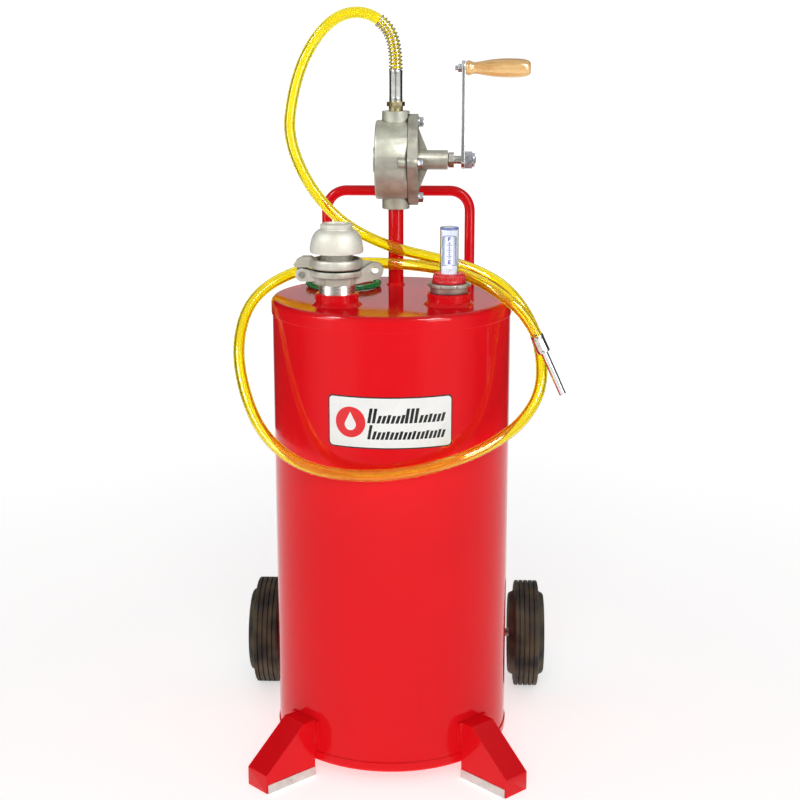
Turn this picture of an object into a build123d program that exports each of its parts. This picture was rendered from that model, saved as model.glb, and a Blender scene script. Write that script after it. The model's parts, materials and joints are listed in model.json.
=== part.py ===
"""Steel drum caddy with a rotary hand pump, fill cap, level gauge and dispensing hose.

Lengths are millimetres. While the parts are made the drum's axis is x = y = 0 and the floor is
z = 0, with the two feet towards -Y and the wheels towards +Y. Every part is moved by SHIFT_Y when
it is saved, so that the origin lies on the floor under the middle of the whole machine.
"""
import os
from math import cos, pi, radians, sin, sqrt, tan

from build123d import *

os.makedirs("parts", exist_ok=True)

# ---------------------------------------------------------------- drum
DRUM_BOTTOM = 26.0
DRUM_TOP = 810.5
SHELL_R = 202.3            # outside of the rolled shell
SHELL_WALL = 1.5
HEAD_WALL = 1.9            # the two heads fit over the shell
HEAD_R = SHELL_R + HEAD_WALL
KNUCKLE_R = 8.0
TOP_SKIRT = 25.0
BOTTOM_SKIRT = 18.0

# ---------------------------------------------------------------- places on the tank top
FILL_X, FILL_Y = -86.0, -88.0
GAUGE_X, GAUGE_Y = 98.0, -77.0
RISER_X, RISER_Y = 3.0, 110.0
PIPE_2IN_R = 30.15         # outside of 2 inch pipe thread
PIPE_34_R = 13.35          # outside of 3/4 inch pipe
BUNG_R = 35.3
BUNG_TOP = 830.0
BUNG_BOTTOM = 799.0
WELD_R = 42.0
WELD_H = 5.5

# ---------------------------------------------------------------- cart
HANDLE_X, HANDLE_Y = 133.0, 289.0
HANDLE_TOP = 956.7
HANDLE_FOOT = 60.0
HANDLE_R = 9.525
HANDLE_WALL = 1.65
HANDLE_BEND = 37.0
PLATE = 5.0
WHEEL_R = 101.6
AXLE_Y, AXLE_Z = 245.0, WHEEL_R
AXLE_R = 7.94
WHEEL_X = 249.3            # middle of each tread
WHEEL_BULGE = 34.0         # half the width over the sidewalls
FOOT_TIP = 309.0
FOOT_WIDTH = 50.8
FOOT_HEIGHT = 101.6
FOOT_SHEET = 2.0
FOOT_ANGLE = 45.0
PAD_SHEET = 1.5
PAD_H = 16.0

# ---------------------------------------------------------------- pump
PUMP_Z = 1029.5
BODY_R = 68.0
CHAMBER_R = 50.3
CHAMBER_OFFSET = 6.0       # the chamber is this much behind the shaft
ROTOR_R = 44.0
SHAFT_R = 7.2
RUNNING = 0.05             # radial clearance of every running fit
BACK_X, FACE_X = -31.5, 24.0
CHAMBER_BACK = -24.0
GASKET_T = 0.8
COVER_X = FACE_X + GASKET_T
COVER_FACE = 42.0
HUB_END = 93.0
HUB_R = 16.75
BOLT_CIRCLE_R = 65.0
LUG_R = 8.8                # the bosses on the body
CORNER_R = 13.5            # the flange's corners round the bolts
BOLT_R = 4.0
BOLT_END = 16.0            # the cover bolts stop here, short of the hose fitting
OUTLET_TOP = 1113.0
INLET_BOTTOM = 945.0
PORT_R = 24.0

# ---------------------------------------------------------------- crank
ARM_X = 116.0
ARM_T = 6.0
CRANK_R = 156.0
SHAFT_END_R = 6.0
GRIP_START, GRIP_END = 122.6, 233.1
GRIP_BOLT_R = 4.0

# ---------------------------------------------------------------- fill cap
CAP_FLANGE_R = 42.5
CAP_FACE = 868.5           # top of the fixed ring
LID_BOTTOM = 871.5
LID_TOP = 887.0
HINGE_X, HINGE_Z = -142.5, 860.5
HINGE_PIN_R = 3.0
EAR_X, EAR_Z = -23.0, 868.5
EAR_R = 14.0
EAR_HOLE_R = 6.0
VENT_SEAT = 899.0
VENT_STEM_R = 3.0

# ---------------------------------------------------------------- level gauge
VIAL_R = 15.75
VIAL_TOP = 938.0
COLLAR_BOTTOM, COLLAR_TOP = 846.0, 862.0
STEM_R = 8.0
STEM_END = 482.0
PIVOT_X = GAUGE_X + 22.0   # the float arm turns here
PIVOT_Z = 430.0
FLOAT_ARM = 245.0
FLOAT_DROP = 55.0          # degrees below level with the tank empty
INDICATOR_TRAVEL = 46.0
YOKE_ARM = INDICATOR_TRAVEL / 2 / sin(radians(FLOAT_DROP))
YOKE_PIN_R = 1.5
ROD_R = 1.6

# ---------------------------------------------------------------- hose and bonding wire
HOSE_D = 19.05
HOSE_ROUTE = [
    (3, 110, 1182), (3, 110, 1224), (-15, 110, 1260), (-52, 109, 1280), (-93, 106, 1274),
    (-128, 102, 1244), (-157, 95, 1195), (-174, 87, 1135), (-181, 80, 1070), (-147, 74, 987),
    (-87, 72, 921), (-7, 74, 882), (76, 46, 867), (140, 8, 856), (192, -36, 834),
    (230, -54, 789), (253, -56, 729), (254, -80, 667), (224, -122, 625), (177, -165, 598),
    (117, -198, 577), (34, -217, 559), (-55, -218, 553), (-141, -199, 564), (-206, -155, 604),
    (-243, -100, 665), (-260, -46, 735), (-243, 11, 802), (-179, 57, 841), (-91, 70, 855),
    (-2, 64, 856), (70, 20, 856), (134, -34, 851), (185, -82, 828), (229, -91, 791),
    (244, -88, 758),
]
GUARD_OUTER, GUARD_INNER = 12.0, 9.9
NOZZLE_R, NOZZLE_BORE = 6.1, 4.9
NOZZLE_LENGTH = 80.0
NOZZLE_TIP_R, NOZZLE_TIP = 5.8, 24.0    # the open end is drawn down a little
NOZZLE_FERRULE = 28.0
HANK_X, HANK_Y = -88.0, 92.0
HANK_R = 62.0
HANK_THICK = 5.8

# ---------------------------------------------------------------- the whole machine's middle
WHEEL_BACK = AXLE_Y + WHEEL_R
FOOT_FRONT = -(FOOT_TIP + FOOT_WIDTH / 2) * cos(radians(FOOT_ANGLE))
SHIFT_Y = -(WHEEL_BACK + FOOT_FRONT) / 2


def save(node, part):
    """Write one sub-part in the machine's own frame."""
    export_step(Pos(0, SHIFT_Y, 0) * part, f"parts/{node}.step")


def x_cylinder(radius, x_low, x_high, y, z):
    return Pos((x_low + x_high) / 2, y, z) * Rot(0, 90, 0) * Cylinder(radius, x_high - x_low)


def y_cylinder(radius, y_low, y_high, x, z):
    return Pos(x, (y_low + y_high) / 2, z) * Rot(90, 0, 0) * Cylinder(radius, y_high - y_low)


def z_cylinder(radius, z_low, z_high, x=0.0, y=0.0):
    return Pos(x, y, (z_low + z_high) / 2) * Cylinder(radius, z_high - z_low)


def z_ring(outer, inner, z_low, z_high, x=0.0, y=0.0):
    return z_cylinder(outer, z_low, z_high, x, y) - z_cylinder(inner, z_low, z_high, x, y)


def block(x_low, x_high, y_low, y_high, z_low, z_high):
    middle = Pos((x_low + x_high) / 2, (y_low + y_high) / 2, (z_low + z_high) / 2)
    return middle * Box(x_high - x_low, y_high - y_low, z_high - z_low)


def turned(points, x=0.0, y=0.0):
    """Revolve a closed outline of (radius, z) about a vertical axis."""
    outline = Plane.XZ * make_face(Polyline(*points, close=True))
    return Pos(x, y, 0) * revolve(outline, Axis.Z)


def turned_on_x(points, y, z):
    """Revolve a closed outline of (x, radius) about a shaft along X."""
    outline = Plane.XY * make_face(Polyline(*points, close=True))
    return Pos(0, y, z) * revolve(outline, Axis.X)


def hex_on_x(across_flats, x_low, x_high, y, z, turn=0.0):
    side = RegularPolygon(across_flats / 2, 6, major_radius=False)
    return Pos(x_low, y, z) * Rot(turn, 0, 0) * extrude(Plane.YZ * side, x_high - x_low)


def hex_on_z(across_flats, z_low, z_high, x, y, turn=0.0):
    side = RegularPolygon(across_flats / 2, 6, major_radius=False)
    return Pos(x, y, z_low) * Rot(0, 0, turn) * extrude(side, z_high - z_low)


def group(parts):
    """Separate solids that share one node."""
    return Compound([solid for part in parts for solid in part.solids()])


def both_sides(part):
    """The part and its mirror image in x."""
    return group([part, mirror(part, Plane.YZ)])


# ================================================================ drum
def drum_cup(closed_z, open_z):
    """A pressed head: a flat disc, a rounded knuckle and a skirt that fits over the shell."""
    up = 1 if open_z > closed_z else -1
    outside = z_cylinder(HEAD_R, min(closed_z, open_z), max(closed_z, open_z))
    rim = outside.faces().sort_by(Axis.Z)[0 if up > 0 else -1].edges()
    outside = fillet(rim, KNUCKLE_R)
    inner_z = closed_z + up * HEAD_WALL
    inside = z_cylinder(SHELL_R, min(inner_z, open_z), max(inner_z, open_z))
    rim = inside.faces().sort_by(Axis.Z)[0 if up > 0 else -1].edges()
    inside = fillet(rim, KNUCKLE_R - HEAD_WALL)
    return outside - inside


def make_drum():
    save("drum_shell", z_ring(SHELL_R, SHELL_R - SHELL_WALL, DRUM_BOTTOM + 10, DRUM_TOP - 10))
    save("bottom_head", drum_cup(DRUM_BOTTOM, DRUM_BOTTOM + BOTTOM_SKIRT))
    top = drum_cup(DRUM_TOP, DRUM_TOP - TOP_SKIRT)
    for x, y, radius in ((FILL_X, FILL_Y, BUNG_R), (GAUGE_X, GAUGE_Y, BUNG_R),
                         (RISER_X, RISER_Y, PIPE_34_R)):
        top -= z_cylinder(radius, DRUM_TOP - 15, DRUM_TOP + 5, x, y)
    save("top_head", top)
    save("fill_bung", tank_bung(FILL_X, FILL_Y))
    save("gauge_bung", tank_bung(GAUGE_X, GAUGE_Y))


def tank_bung(x, y):
    """A threaded half coupling through the top head, with its weld bead and a lobed rim."""
    bead = Pos(x, y, DRUM_TOP + WELD_H / 2) * Cone(WELD_R, BUNG_R, WELD_H)
    bung = z_cylinder(BUNG_R, BUNG_BOTTOM, BUNG_TOP - 1.5, x, y) + bead
    bung += Pos(x, y, BUNG_TOP - 0.75) * Cone(BUNG_R, BUNG_R - 1.5, 1.5)
    lobes = 10
    for i in range(lobes):
        angle = 2 * pi * (i + 0.5) / lobes
        bung += z_cylinder(6.5, BUNG_TOP - 9, BUNG_TOP - 1.5,
                           x + 30.6 * cos(angle), y + 30.6 * sin(angle))
    return bung - z_cylinder(PIPE_2IN_R, BUNG_BOTTOM, BUNG_TOP, x, y)


def make_label():
    """A curved decal with rounded corners on the front of the shell."""
    half_angle = radians(29.6)
    width, height, middle_z = 2 * SHELL_R * sin(half_angle), 86.0, 638.2
    skin = z_ring(SHELL_R + 0.4, SHELL_R, middle_z - height / 2, middle_z + height / 2)
    window = Pos(0, -230, middle_z) * extrude(Plane.XZ * RectangleRounded(width, height, 8), -130)
    save("front_label", Rot(0, 0, 1.8) * (skin & window))


# ================================================================ feet
def radial(part, side):
    """Turn a part made along +X onto one front corner; side is -1 for left, +1 for right."""
    return Rot(0, 0, -90 + side * FOOT_ANGLE) * part


def foot_shell():
    half = FOOT_WIDTH / 2
    bend_r, nose_z, low_z = 228.0, 33.0, PAD_SHEET
    outer = [(195, low_z), (195, FOOT_HEIGHT), (bend_r, FOOT_HEIGHT), (FOOT_TIP, nose_z),
             (FOOT_TIP, low_z)]
    t = FOOT_SHEET
    inner = [(190, low_z - 1), (190, FOOT_HEIGHT - t), (bend_r - t / 2, FOOT_HEIGHT - t),
             (FOOT_TIP - t, nose_z - t / 2), (FOOT_TIP - t, low_z - 1)]
    solid = Pos(0, half, 0) * extrude(Plane.XZ * make_face(Polyline(*outer, close=True)), 2 * half)
    hollow = Pos(0, half - t, 0) * extrude(
        Plane.XZ * make_face(Polyline(*inner, close=True)), 2 * (half - t))
    foot = solid - hollow
    foot += block(FOOT_TIP - t, FOOT_TIP, -half, half, 0.5, low_z + 1)
    for side in (-1, 1):
        low, high = sorted((side * half, side * (half + 8)))
        foot += block(197, 204.6, low, high, 60, FOOT_HEIGHT)
    foot -= z_cylinder(SHELL_R, 44, 200)
    foot -= z_cylinder(HEAD_R, -5, 44.5)
    for side in (-1, 1):
        foot -= y_cylinder(1.6, min(0, side * 40), max(0, side * 40), 255, 8)
    return foot


def foot_pad():
    half, t = FOOT_WIDTH / 2, PAD_SHEET
    start, end = 200.0, FOOT_TIP - FOOT_SHEET - 0.2
    pad = block(start, end, -half - t, half + t, 0, PAD_H)
    pad -= block(start - 1, end + 1, -half, half, t, PAD_H + 1)
    pad -= z_cylinder(HEAD_R + 0.3, -1, PAD_H + 1)
    return pad - y_cylinder(1.6, -40, 40, 255, 8)


def foot_rivet(side):
    edge = FOOT_WIDTH / 2 + PAD_SHEET
    shank = y_cylinder(1.6, edge - 4.5, edge, 255, 8)
    head = y_cylinder(3.2, edge, edge + 1.2, 255, 8)
    rivet = shank + head
    return rivet if side > 0 else mirror(rivet, Plane.XZ)


def make_feet():
    save("left_foot", radial(foot_shell(), -1))
    save("right_foot", radial(foot_shell(), 1))
    save("foot_pads", group([radial(foot_pad(), side) for side in (-1, 1)]))
    rivets = [radial(foot_rivet(face), side) for side in (-1, 1) for face in (-1, 1)]
    save("pad_rivets", group(rivets))


# ================================================================ handle and wheels
def make_handle():
    path = FilletPolyline(
        (-HANDLE_X, HANDLE_Y, HANDLE_FOOT), (-HANDLE_X, HANDLE_Y, HANDLE_TOP),
        (HANDLE_X, HANDLE_Y, HANDLE_TOP), (HANDLE_X, HANDLE_Y, HANDLE_FOOT), radius=HANDLE_BEND)
    ring = Circle(HANDLE_R) - Circle(HANDLE_R - HANDLE_WALL)
    save("rear_handle", sweep(Plane(origin=path @ 0, z_dir=path % 0) * ring, path=path))

    low_x, high_x = HANDLE_X - PLATE / 2, HANDLE_X + PLATE / 2
    tube = z_cylinder(HANDLE_R, 0, 900, HANDLE_X, HANDLE_Y)
    stay = block(low_x, high_x, 140, HANDLE_Y, 706, 746)
    save("handle_brackets", both_sides(stay - z_cylinder(SHELL_R, 600, 800) - tube))

    outline = [(140, 215), (HANDLE_Y, 150), (HANDLE_Y, 68), (215, 68), (140, 52)]
    gusset = Pos(low_x, 0, 0) * extrude(Plane.YZ * make_face(Polyline(*outline, close=True)), PLATE)
    gusset = gusset - z_cylinder(SHELL_R, 0, 300) - tube
    gusset -= x_cylinder(AXLE_R, 100, 160, AXLE_Y, AXLE_Z)
    save("axle_brackets", both_sides(gusset))


def wheel_hub(side):
    """A steel disc wheel: bearing tube, dished web with lightening holes, and rim."""
    middle = side * WHEEL_X
    parts = turned_on_x([(middle - 25.3, AXLE_R + 0.06), (middle + 22.7, AXLE_R + 0.06),
                         (middle + 22.7, 14), (middle - 25.3, 14)], AXLE_Y, AXLE_Z)
    parts += turned_on_x([(middle - 2, 13), (middle + 2, 13), (middle + 6, 30),
                          (middle + 6, 57), (middle + 2, 57), (middle + 2, 31)], AXLE_Y, AXLE_Z)
    parts += turned_on_x([(middle - 22, 56), (middle + 22, 56), (middle + 22, 60),
                          (middle - 22, 60)], AXLE_Y, AXLE_Z)
    holes = 5
    for i in range(holes):
        angle = 2 * pi * i / holes
        parts -= x_cylinder(7, middle - 10, middle + 12,
                            AXLE_Y + 43 * cos(angle), AXLE_Z + 43 * sin(angle))
    return parts


def tyre(side):
    """A ribbed tread between shoulders, over a sidewall that bulges past the tread."""
    middle = side * WHEEL_X
    half, crown, groove = 22.25, WHEEL_R, WHEEL_R - 4.0
    right = []
    for start, end in ((3.5, 6.0), (12.5, 15.0)):
        right += [(start, crown), (start + 0.4, groove), (end - 0.4, groove), (end, crown)]
    right += [(half - 1.5, crown - 0.3), (half, crown - 2.5), (half + 1, 94), (half - 1, 86),
              (half + 3, 81), (WHEEL_BULGE - 1.5, 77), (WHEEL_BULGE, 74), (WHEEL_BULGE, 68),
              (WHEEL_BULGE - 4, 62), (WHEEL_BULGE - 7, 60)]
    left = [(-x, radius) for x, radius in reversed(right)]
    outline = [(middle + x, radius) for x, radius in left + right]
    return turned_on_x(outline, AXLE_Y, AXLE_Z)


def make_wheels():
    save("axle", x_cylinder(AXLE_R, -WHEEL_X - 31, WHEEL_X + 31, AXLE_Y, AXLE_Z))
    save("left_wheel_hub", mirror(wheel_hub(1), Plane.YZ))
    save("right_wheel_hub", wheel_hub(1))
    save("left_tyre", tyre(-1))
    save("right_tyre", tyre(1))
    inner = x_cylinder(15, WHEEL_X - 28, WHEEL_X - 25.8, AXLE_Y, AXLE_Z)
    outer = x_cylinder(15, WHEEL_X + 23.2, WHEEL_X + 25.4, AXLE_Y, AXLE_Z)
    axle_hole = x_cylinder(AXLE_R, 200, 300, AXLE_Y, AXLE_Z)
    dome = turned_on_x([(WHEEL_X + 25.4, AXLE_R), (WHEEL_X + 25.4, 12), (WHEEL_X + 29, 11),
                        (WHEEL_X + 32.5, 7), (WHEEL_X + 33, 0), (WHEEL_X + 31, 0),
                        (WHEEL_X + 31, AXLE_R)], AXLE_Y, AXLE_Z)
    washers = (inner + outer) - axle_hole
    save("axle_fasteners", group([both_sides(washers), both_sides(dome)]))


# ================================================================ suction line
def make_suction():
    bead = Pos(RISER_X, RISER_Y, DRUM_TOP + 2) * Cone(17, PIPE_34_R, 4)
    riser = z_cylinder(PIPE_34_R, 780, INLET_BOTTOM + 14, RISER_X, RISER_Y) + bead
    riser -= z_cylinder(10.5, 780, INLET_BOTTOM + 14, RISER_X, RISER_Y)
    save("riser_pipe", riser)
    save("suction_tube", z_ring(PIPE_34_R, 11.5, 62, 780, RISER_X, RISER_Y))
    cup = z_cylinder(18, 40, 80, RISER_X, RISER_Y)
    cup -= z_cylinder(16, 42, 78, RISER_X, RISER_Y)
    cup -= z_cylinder(PIPE_34_R, 60, 90, RISER_X, RISER_Y)
    slots = 8
    for i in range(slots):
        slot = Pos(RISER_X, RISER_Y, 52) * Rot(0, 0, 360 * i / slots) * Pos(17, 0, 0)
        cup -= slot * Box(8, 3, 14)
    save("suction_strainer", cup)


# ================================================================ pump
def lug_places():
    """The four flange bolts (y, z): top, bottom, front and back of the pump."""
    for i in range(4):
        angle = pi / 2 * i
        yield RISER_Y + BOLT_CIRCLE_R * cos(angle), PUMP_Z + BOLT_CIRCLE_R * sin(angle)


def flange_plate(x_low, x_high):
    """A round plate drawn out to a blunt corner at each bolt, standing across the shaft."""
    edges = Circle(BODY_R).edges()
    for y, z in lug_places():
        edges += (Pos(y - RISER_Y, z - PUMP_Z) * Circle(CORNER_R)).edges()
    plate = extrude(Plane.YZ * make_hull(edges), x_high - x_low)
    return Pos(x_low, RISER_Y, PUMP_Z) * plate


def along_shaft(radius, x_low, x_high):
    return x_cylinder(radius, x_low, x_high, RISER_Y, PUMP_Z)


def make_pump_body():
    body = along_shaft(BODY_R, BACK_X, FACE_X)
    body = fillet(body.faces().sort_by(Axis.X)[0].edges(), 4)
    body += along_shaft(21.5, BACK_X - 4.5, BACK_X + 1)
    outlet = z_cylinder(PORT_R, PUMP_Z + 40, OUTLET_TOP, RISER_X, RISER_Y)
    inlet = z_cylinder(PORT_R, INLET_BOTTOM, PUMP_Z - 40, RISER_X, RISER_Y)
    body += fillet(outlet.faces().sort_by(Axis.Z)[-1].edges(), 1.2)
    body += fillet(inlet.faces().sort_by(Axis.Z)[0].edges(), 1.8)
    corner = BOLT_CIRCLE_R + CORNER_R
    body -= block(FACE_X, FACE_X + 20, RISER_Y - corner, RISER_Y + corner,
                  PUMP_Z - corner - 1.5, PUMP_Z + corner + 0.8)
    for y, z in lug_places():
        body += x_cylinder(LUG_R, 10, FACE_X, y, z)
    body -= z_cylinder(12.3, OUTLET_TOP - 14, OUTLET_TOP + 1, RISER_X, RISER_Y)
    body -= z_cylinder(10, PUMP_Z + 40, OUTLET_TOP, RISER_X, RISER_Y)
    body -= z_cylinder(PIPE_34_R, INLET_BOTTOM - 1, INLET_BOTTOM + 14, RISER_X, RISER_Y)
    body -= z_cylinder(10, INLET_BOTTOM, PUMP_Z - 40, RISER_X, RISER_Y)
    body -= x_cylinder(CHAMBER_R, CHAMBER_BACK, FACE_X + 1, RISER_Y + CHAMBER_OFFSET, PUMP_Z)
    body -= along_shaft(SHAFT_R + RUNNING, BACK_X + 1.5, CHAMBER_BACK + 1)
    for y, z in lug_places():
        body -= x_cylinder(BOLT_R, BOLT_END, FACE_X + 1, y, z)
    save("pump_body", body)


def make_pump_cover():
    gasket = flange_plate(FACE_X, COVER_X)
    gasket -= x_cylinder(CHAMBER_R + 2, FACE_X - 1, COVER_X + 1, RISER_Y + CHAMBER_OFFSET, PUMP_Z)
    cover = flange_plate(COVER_X, COVER_FACE)
    hub = along_shaft(HUB_R, COVER_FACE - 1, HUB_END)
    cover += fillet(hub.faces().sort_by(Axis.X)[-1].edges(), 1.5)
    rib = Pos(0, 2.5, 0) * extrude(Plane.XZ * make_face(Polyline(
        (COVER_FACE - 1, HUB_R - 4), (COVER_FACE - 1, 55), (COVER_FACE, 55), (58, HUB_R - 1),
        (58, HUB_R - 4), close=True)), 5)
    for i in range(4):
        cover += Pos(0, RISER_Y, PUMP_Z) * Rot(90 * i, 0, 0) * rib
    cover -= along_shaft(SHAFT_R + RUNNING, 0, 200)
    cover -= along_shaft(10, 72, HUB_END + 1)
    bolts = []
    for y, z in lug_places():
        gasket -= x_cylinder(BOLT_R, 0, 60, y, z)
        cover -= x_cylinder(BOLT_R, 0, 60, y, z)
        bolt = x_cylinder(BOLT_R, BOLT_END, 46, y, z) + x_cylinder(9, COVER_FACE, COVER_FACE + 1.6, y, z)
        bolt += hex_on_x(15, COVER_FACE + 1.6, COVER_FACE + 8.5, y, z, turn=11 * y)
        bolts.append(bolt + x_cylinder(5, COVER_FACE + 8.5, COVER_FACE + 9.2, y, z))
    save("cover_gasket", gasket)
    save("pump_cover", cover)
    save("cover_bolts", group(bolts))


def make_pump_moving():
    """Shaft, rotor and four sliding vanes, the vanes drawn flush with the rotor."""
    shaft = along_shaft(SHAFT_R, -29, ARM_X) + along_shaft(SHAFT_END_R, ARM_X - 1, 141.5)
    shaft = chamfer(shaft.faces().sort_by(Axis.X)[-1].edges(), 0.8)
    rotor = along_shaft(ROTOR_R, -23.5, 23.5) - along_shaft(SHAFT_R, -30, 30)
    vanes = []
    for i in range(4):
        turn = Pos(0, RISER_Y, PUMP_Z) * Rot(45 + 90 * i, 0, 0)
        rotor -= turn * block(-30, 30, -2.5, 2.5, 18, ROTOR_R + 5)
        vanes.append(turn * block(-23.3, 23.3, -2.5, 2.5, 19, ROTOR_R - 0.4))
    save("pump_shaft", shaft)
    save("pump_rotor", rotor)
    save("pump_vanes", group(vanes))


def make_packing():
    packing = along_shaft(10, 72, 84) - along_shaft(SHAFT_R + RUNNING, 70, 90)
    nut = along_shaft(10, 84, 94) + hex_on_x(24, HUB_END + 1, 103.5, RISER_Y, PUMP_Z, turn=8)
    nut += along_shaft(11, HUB_END, HUB_END + 1.5)
    save("shaft_packing", packing)
    save("packing_nut", nut - along_shaft(SHAFT_R + 0.35, 80, 110))


# ================================================================ crank
def make_crank():
    arm_end = PUMP_Z + CRANK_R
    bar = make_hull(Circle(15).edges() + (Pos(0, CRANK_R) * Circle(12.5)).edges())
    arm = Pos(ARM_X, RISER_Y, PUMP_Z) * extrude(Plane.YZ * bar, ARM_T)
    arm = fillet(arm.faces().filter_by(Axis.X).edges(), 0.8)
    arm -= along_shaft(SHAFT_END_R, 100, 130)
    arm -= x_cylinder(GRIP_BOLT_R, 100, 130, RISER_Y, arm_end)
    save("crank_arm", arm)

    nut = hex_on_x(25.4, ARM_X + ARM_T, 135, RISER_Y, PUMP_Z, turn=20)
    nut += along_shaft(12.2, 134, 139.5)
    nut = fillet(nut.faces().sort_by(Axis.X)[-1].edges(), 2)
    save("crank_nut", nut - along_shaft(SHAFT_END_R, 100, 150))

    bolt = x_cylinder(GRIP_BOLT_R, 104.5, 228, RISER_Y, arm_end)
    bolt += x_cylinder(7, 227, 231, RISER_Y, arm_end)
    nut = hex_on_x(13, 109.5, ARM_X, RISER_Y, arm_end, turn=5)
    nut -= x_cylinder(GRIP_BOLT_R, 100, 130, RISER_Y, arm_end)
    save("grip_bolt", group([bolt, nut]))

    crown = Spline((GRIP_START, 8.5), (124.3, 11.6), (128, 12.8), (132, 11.6), (136, 10.2),
                   (143, 10.4), (160, 13.4), (185, 15.9), (208, 16.0), (225, 14.2),
                   (231, 11.5), (GRIP_END, 8.5))
    bore = Polyline((GRIP_END, 8.5), (GRIP_END, 7.6), (226.5, 7.6),
                    (226.5, GRIP_BOLT_R + RUNNING), (GRIP_START, GRIP_BOLT_R + RUNNING),
                    (GRIP_START, 8.5))
    outline = Plane.XY * make_face(crown.edges() + bore.edges())
    save("wood_grip", Pos(0, RISER_Y, arm_end) * revolve(outline, Axis.X))


# ================================================================ fill cap
def ear_plate(y_low, y_high, root):
    """A plate with the padlock eye at its end, drawn to the points that join it to its ring."""
    eye = Pos(EAR_X, EAR_Z) * Circle(EAR_R)
    points = eye.edges()
    for x, z in root:
        points += (Pos(x, z) * Circle(0.6)).edges()
    plate = Pos(0, y_high, 0) * extrude(Plane.XZ * make_hull(points), y_high - y_low)
    return plate - y_cylinder(EAR_HOLE_R, y_low - 1, y_high + 1, EAR_X, EAR_Z)


def make_fill_body():
    nipple = z_ring(PIPE_2IN_R, 26.25, 806, 853, FILL_X, FILL_Y)
    save("fill_nipple", nipple)

    body = hex_on_z(68, 845.8, 858, FILL_X, FILL_Y, turn=8)
    body += z_cylinder(CAP_FLANGE_R, 859.5, CAP_FACE, FILL_X, FILL_Y)
    body += Pos(FILL_X, FILL_Y, 858.5) * Cone(35, CAP_FLANGE_R, 2)
    body += ear_plate(-103, -97, [(-52, 847.5), (-62, 847.5), (-52, 857), (-62, 857)])
    for low, high in ((-99, -92), (-84, -77)):
        cheek = make_hull((Pos(HINGE_X, HINGE_Z) * Circle(11)).edges()
                          + (Pos(-122, 862) * Circle(4)).edges()
                          + (Pos(-118, 853) * Circle(3)).edges())
        body += Pos(0, high, 0) * extrude(Plane.XZ * cheek, high - low)
    body -= y_cylinder(HINGE_PIN_R, -110, -60, HINGE_X, HINGE_Z)
    body -= z_cylinder(PIPE_2IN_R, 840, 853, FILL_X, FILL_Y)
    body -= z_cylinder(26.25, 840, 880, FILL_X, FILL_Y)
    save("fill_body", body)
    save("fill_gasket", z_ring(38, 28, CAP_FACE, LID_BOTTOM, FILL_X, FILL_Y))

    pin = y_cylinder(HINGE_PIN_R, -99, -77, HINGE_X, HINGE_Z)
    for low, high in ((-101, -99), (-77, -75)):
        pin += y_cylinder(4.5, low, high, HINGE_X, HINGE_Z)
    save("hinge_pin", pin)


def make_fill_lid():
    lid = turned([(20, LID_BOTTOM + 0.05), (41, LID_BOTTOM + 0.05), (CAP_FLANGE_R, 873.5),
                  (CAP_FLANGE_R, 883.5), (41.5, 885.2), (39.5, LID_TOP), (37, LID_TOP),
                  (35, 880), (26.75, 880), (26.75, 929), (22, 929), (22, VENT_SEAT),
                  (15, VENT_SEAT), (15, VENT_SEAT - 4), (20, VENT_SEAT - 8)], FILL_X, FILL_Y)
    lid += ear_plate(-96.5, -90.5, [(-49, 873), (-58, 874), (-49, 884), (-40, 884)])
    block_outline = Polyline((-119, 873.2), (-152.5, 873.2), (-156.5, 877), (-152, 884),
                             (-142, 890), (-128, 890), (-119, 885), close=True)
    lid += Pos(0, -77, 0) * extrude(Plane.XZ * make_face(block_outline), 22)
    knuckle = make_hull((Pos(HINGE_X, HINGE_Z) * Circle(9.5)).edges()
                        + (Pos(-149, 875) * Circle(2)).edges()
                        + (Pos(-136, 875) * Circle(2)).edges())
    lid += Pos(0, -84.4, 0) * extrude(Plane.XZ * knuckle, 7.2)
    lid -= y_cylinder(HINGE_PIN_R + RUNNING, -110, -60, HINGE_X, HINGE_Z)
    lid -= z_cylinder(CAP_FLANGE_R + 1.5, 840, LID_BOTTOM + 0.05, FILL_X, FILL_Y)
    spider = block(FILL_X - 20.5, FILL_X + 20.5, FILL_Y - 3, FILL_Y + 3, 876, 882)
    spider += z_cylinder(6, 876, 882, FILL_X, FILL_Y)
    lid += spider - z_cylinder(VENT_STEM_R + RUNNING, 870, 890, FILL_X, FILL_Y)
    ports = 6
    for i in range(ports):
        port = Pos(FILL_X, FILL_Y, 908) * Rot(0, 0, 360 * i / ports - 78) * Rot(0, 90, 0)
        lid -= port * Pos(0, 0, 24.5) * Cylinder(2.6, 8)
    save("fill_lid", lid)

    shell = Spline((43.2, 897.2), (44, 901), (43.1, 910), (40.6, 920), (34.6, 930), (27.2, 935))
    rim = Polyline((27.2, 935), (26.2, 936.5), (26.4, 942.5), (25, 944), (21.5, 944), (20, 941),
                   (0, 941), (0, 933), (26.75, 933), (26.75, 912), (31, 912), (31, 924),
                   (38.5, 913), (40.6, 901), (41.2, 897.2), (43.2, 897.2))
    outline = Plane.XZ * make_face(shell.edges() + rim.edges())
    save("vent_dome", Pos(FILL_X, FILL_Y, 0) * revolve(outline, Axis.Z))

    valve = z_cylinder(18, VENT_SEAT, VENT_SEAT + 3, FILL_X, FILL_Y)
    valve += z_cylinder(VENT_STEM_R, 872.5, VENT_SEAT + 1, FILL_X, FILL_Y)
    valve += z_cylinder(5, VENT_SEAT + 2, VENT_SEAT + 8, FILL_X, FILL_Y)
    save("vent_valve", valve)


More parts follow.
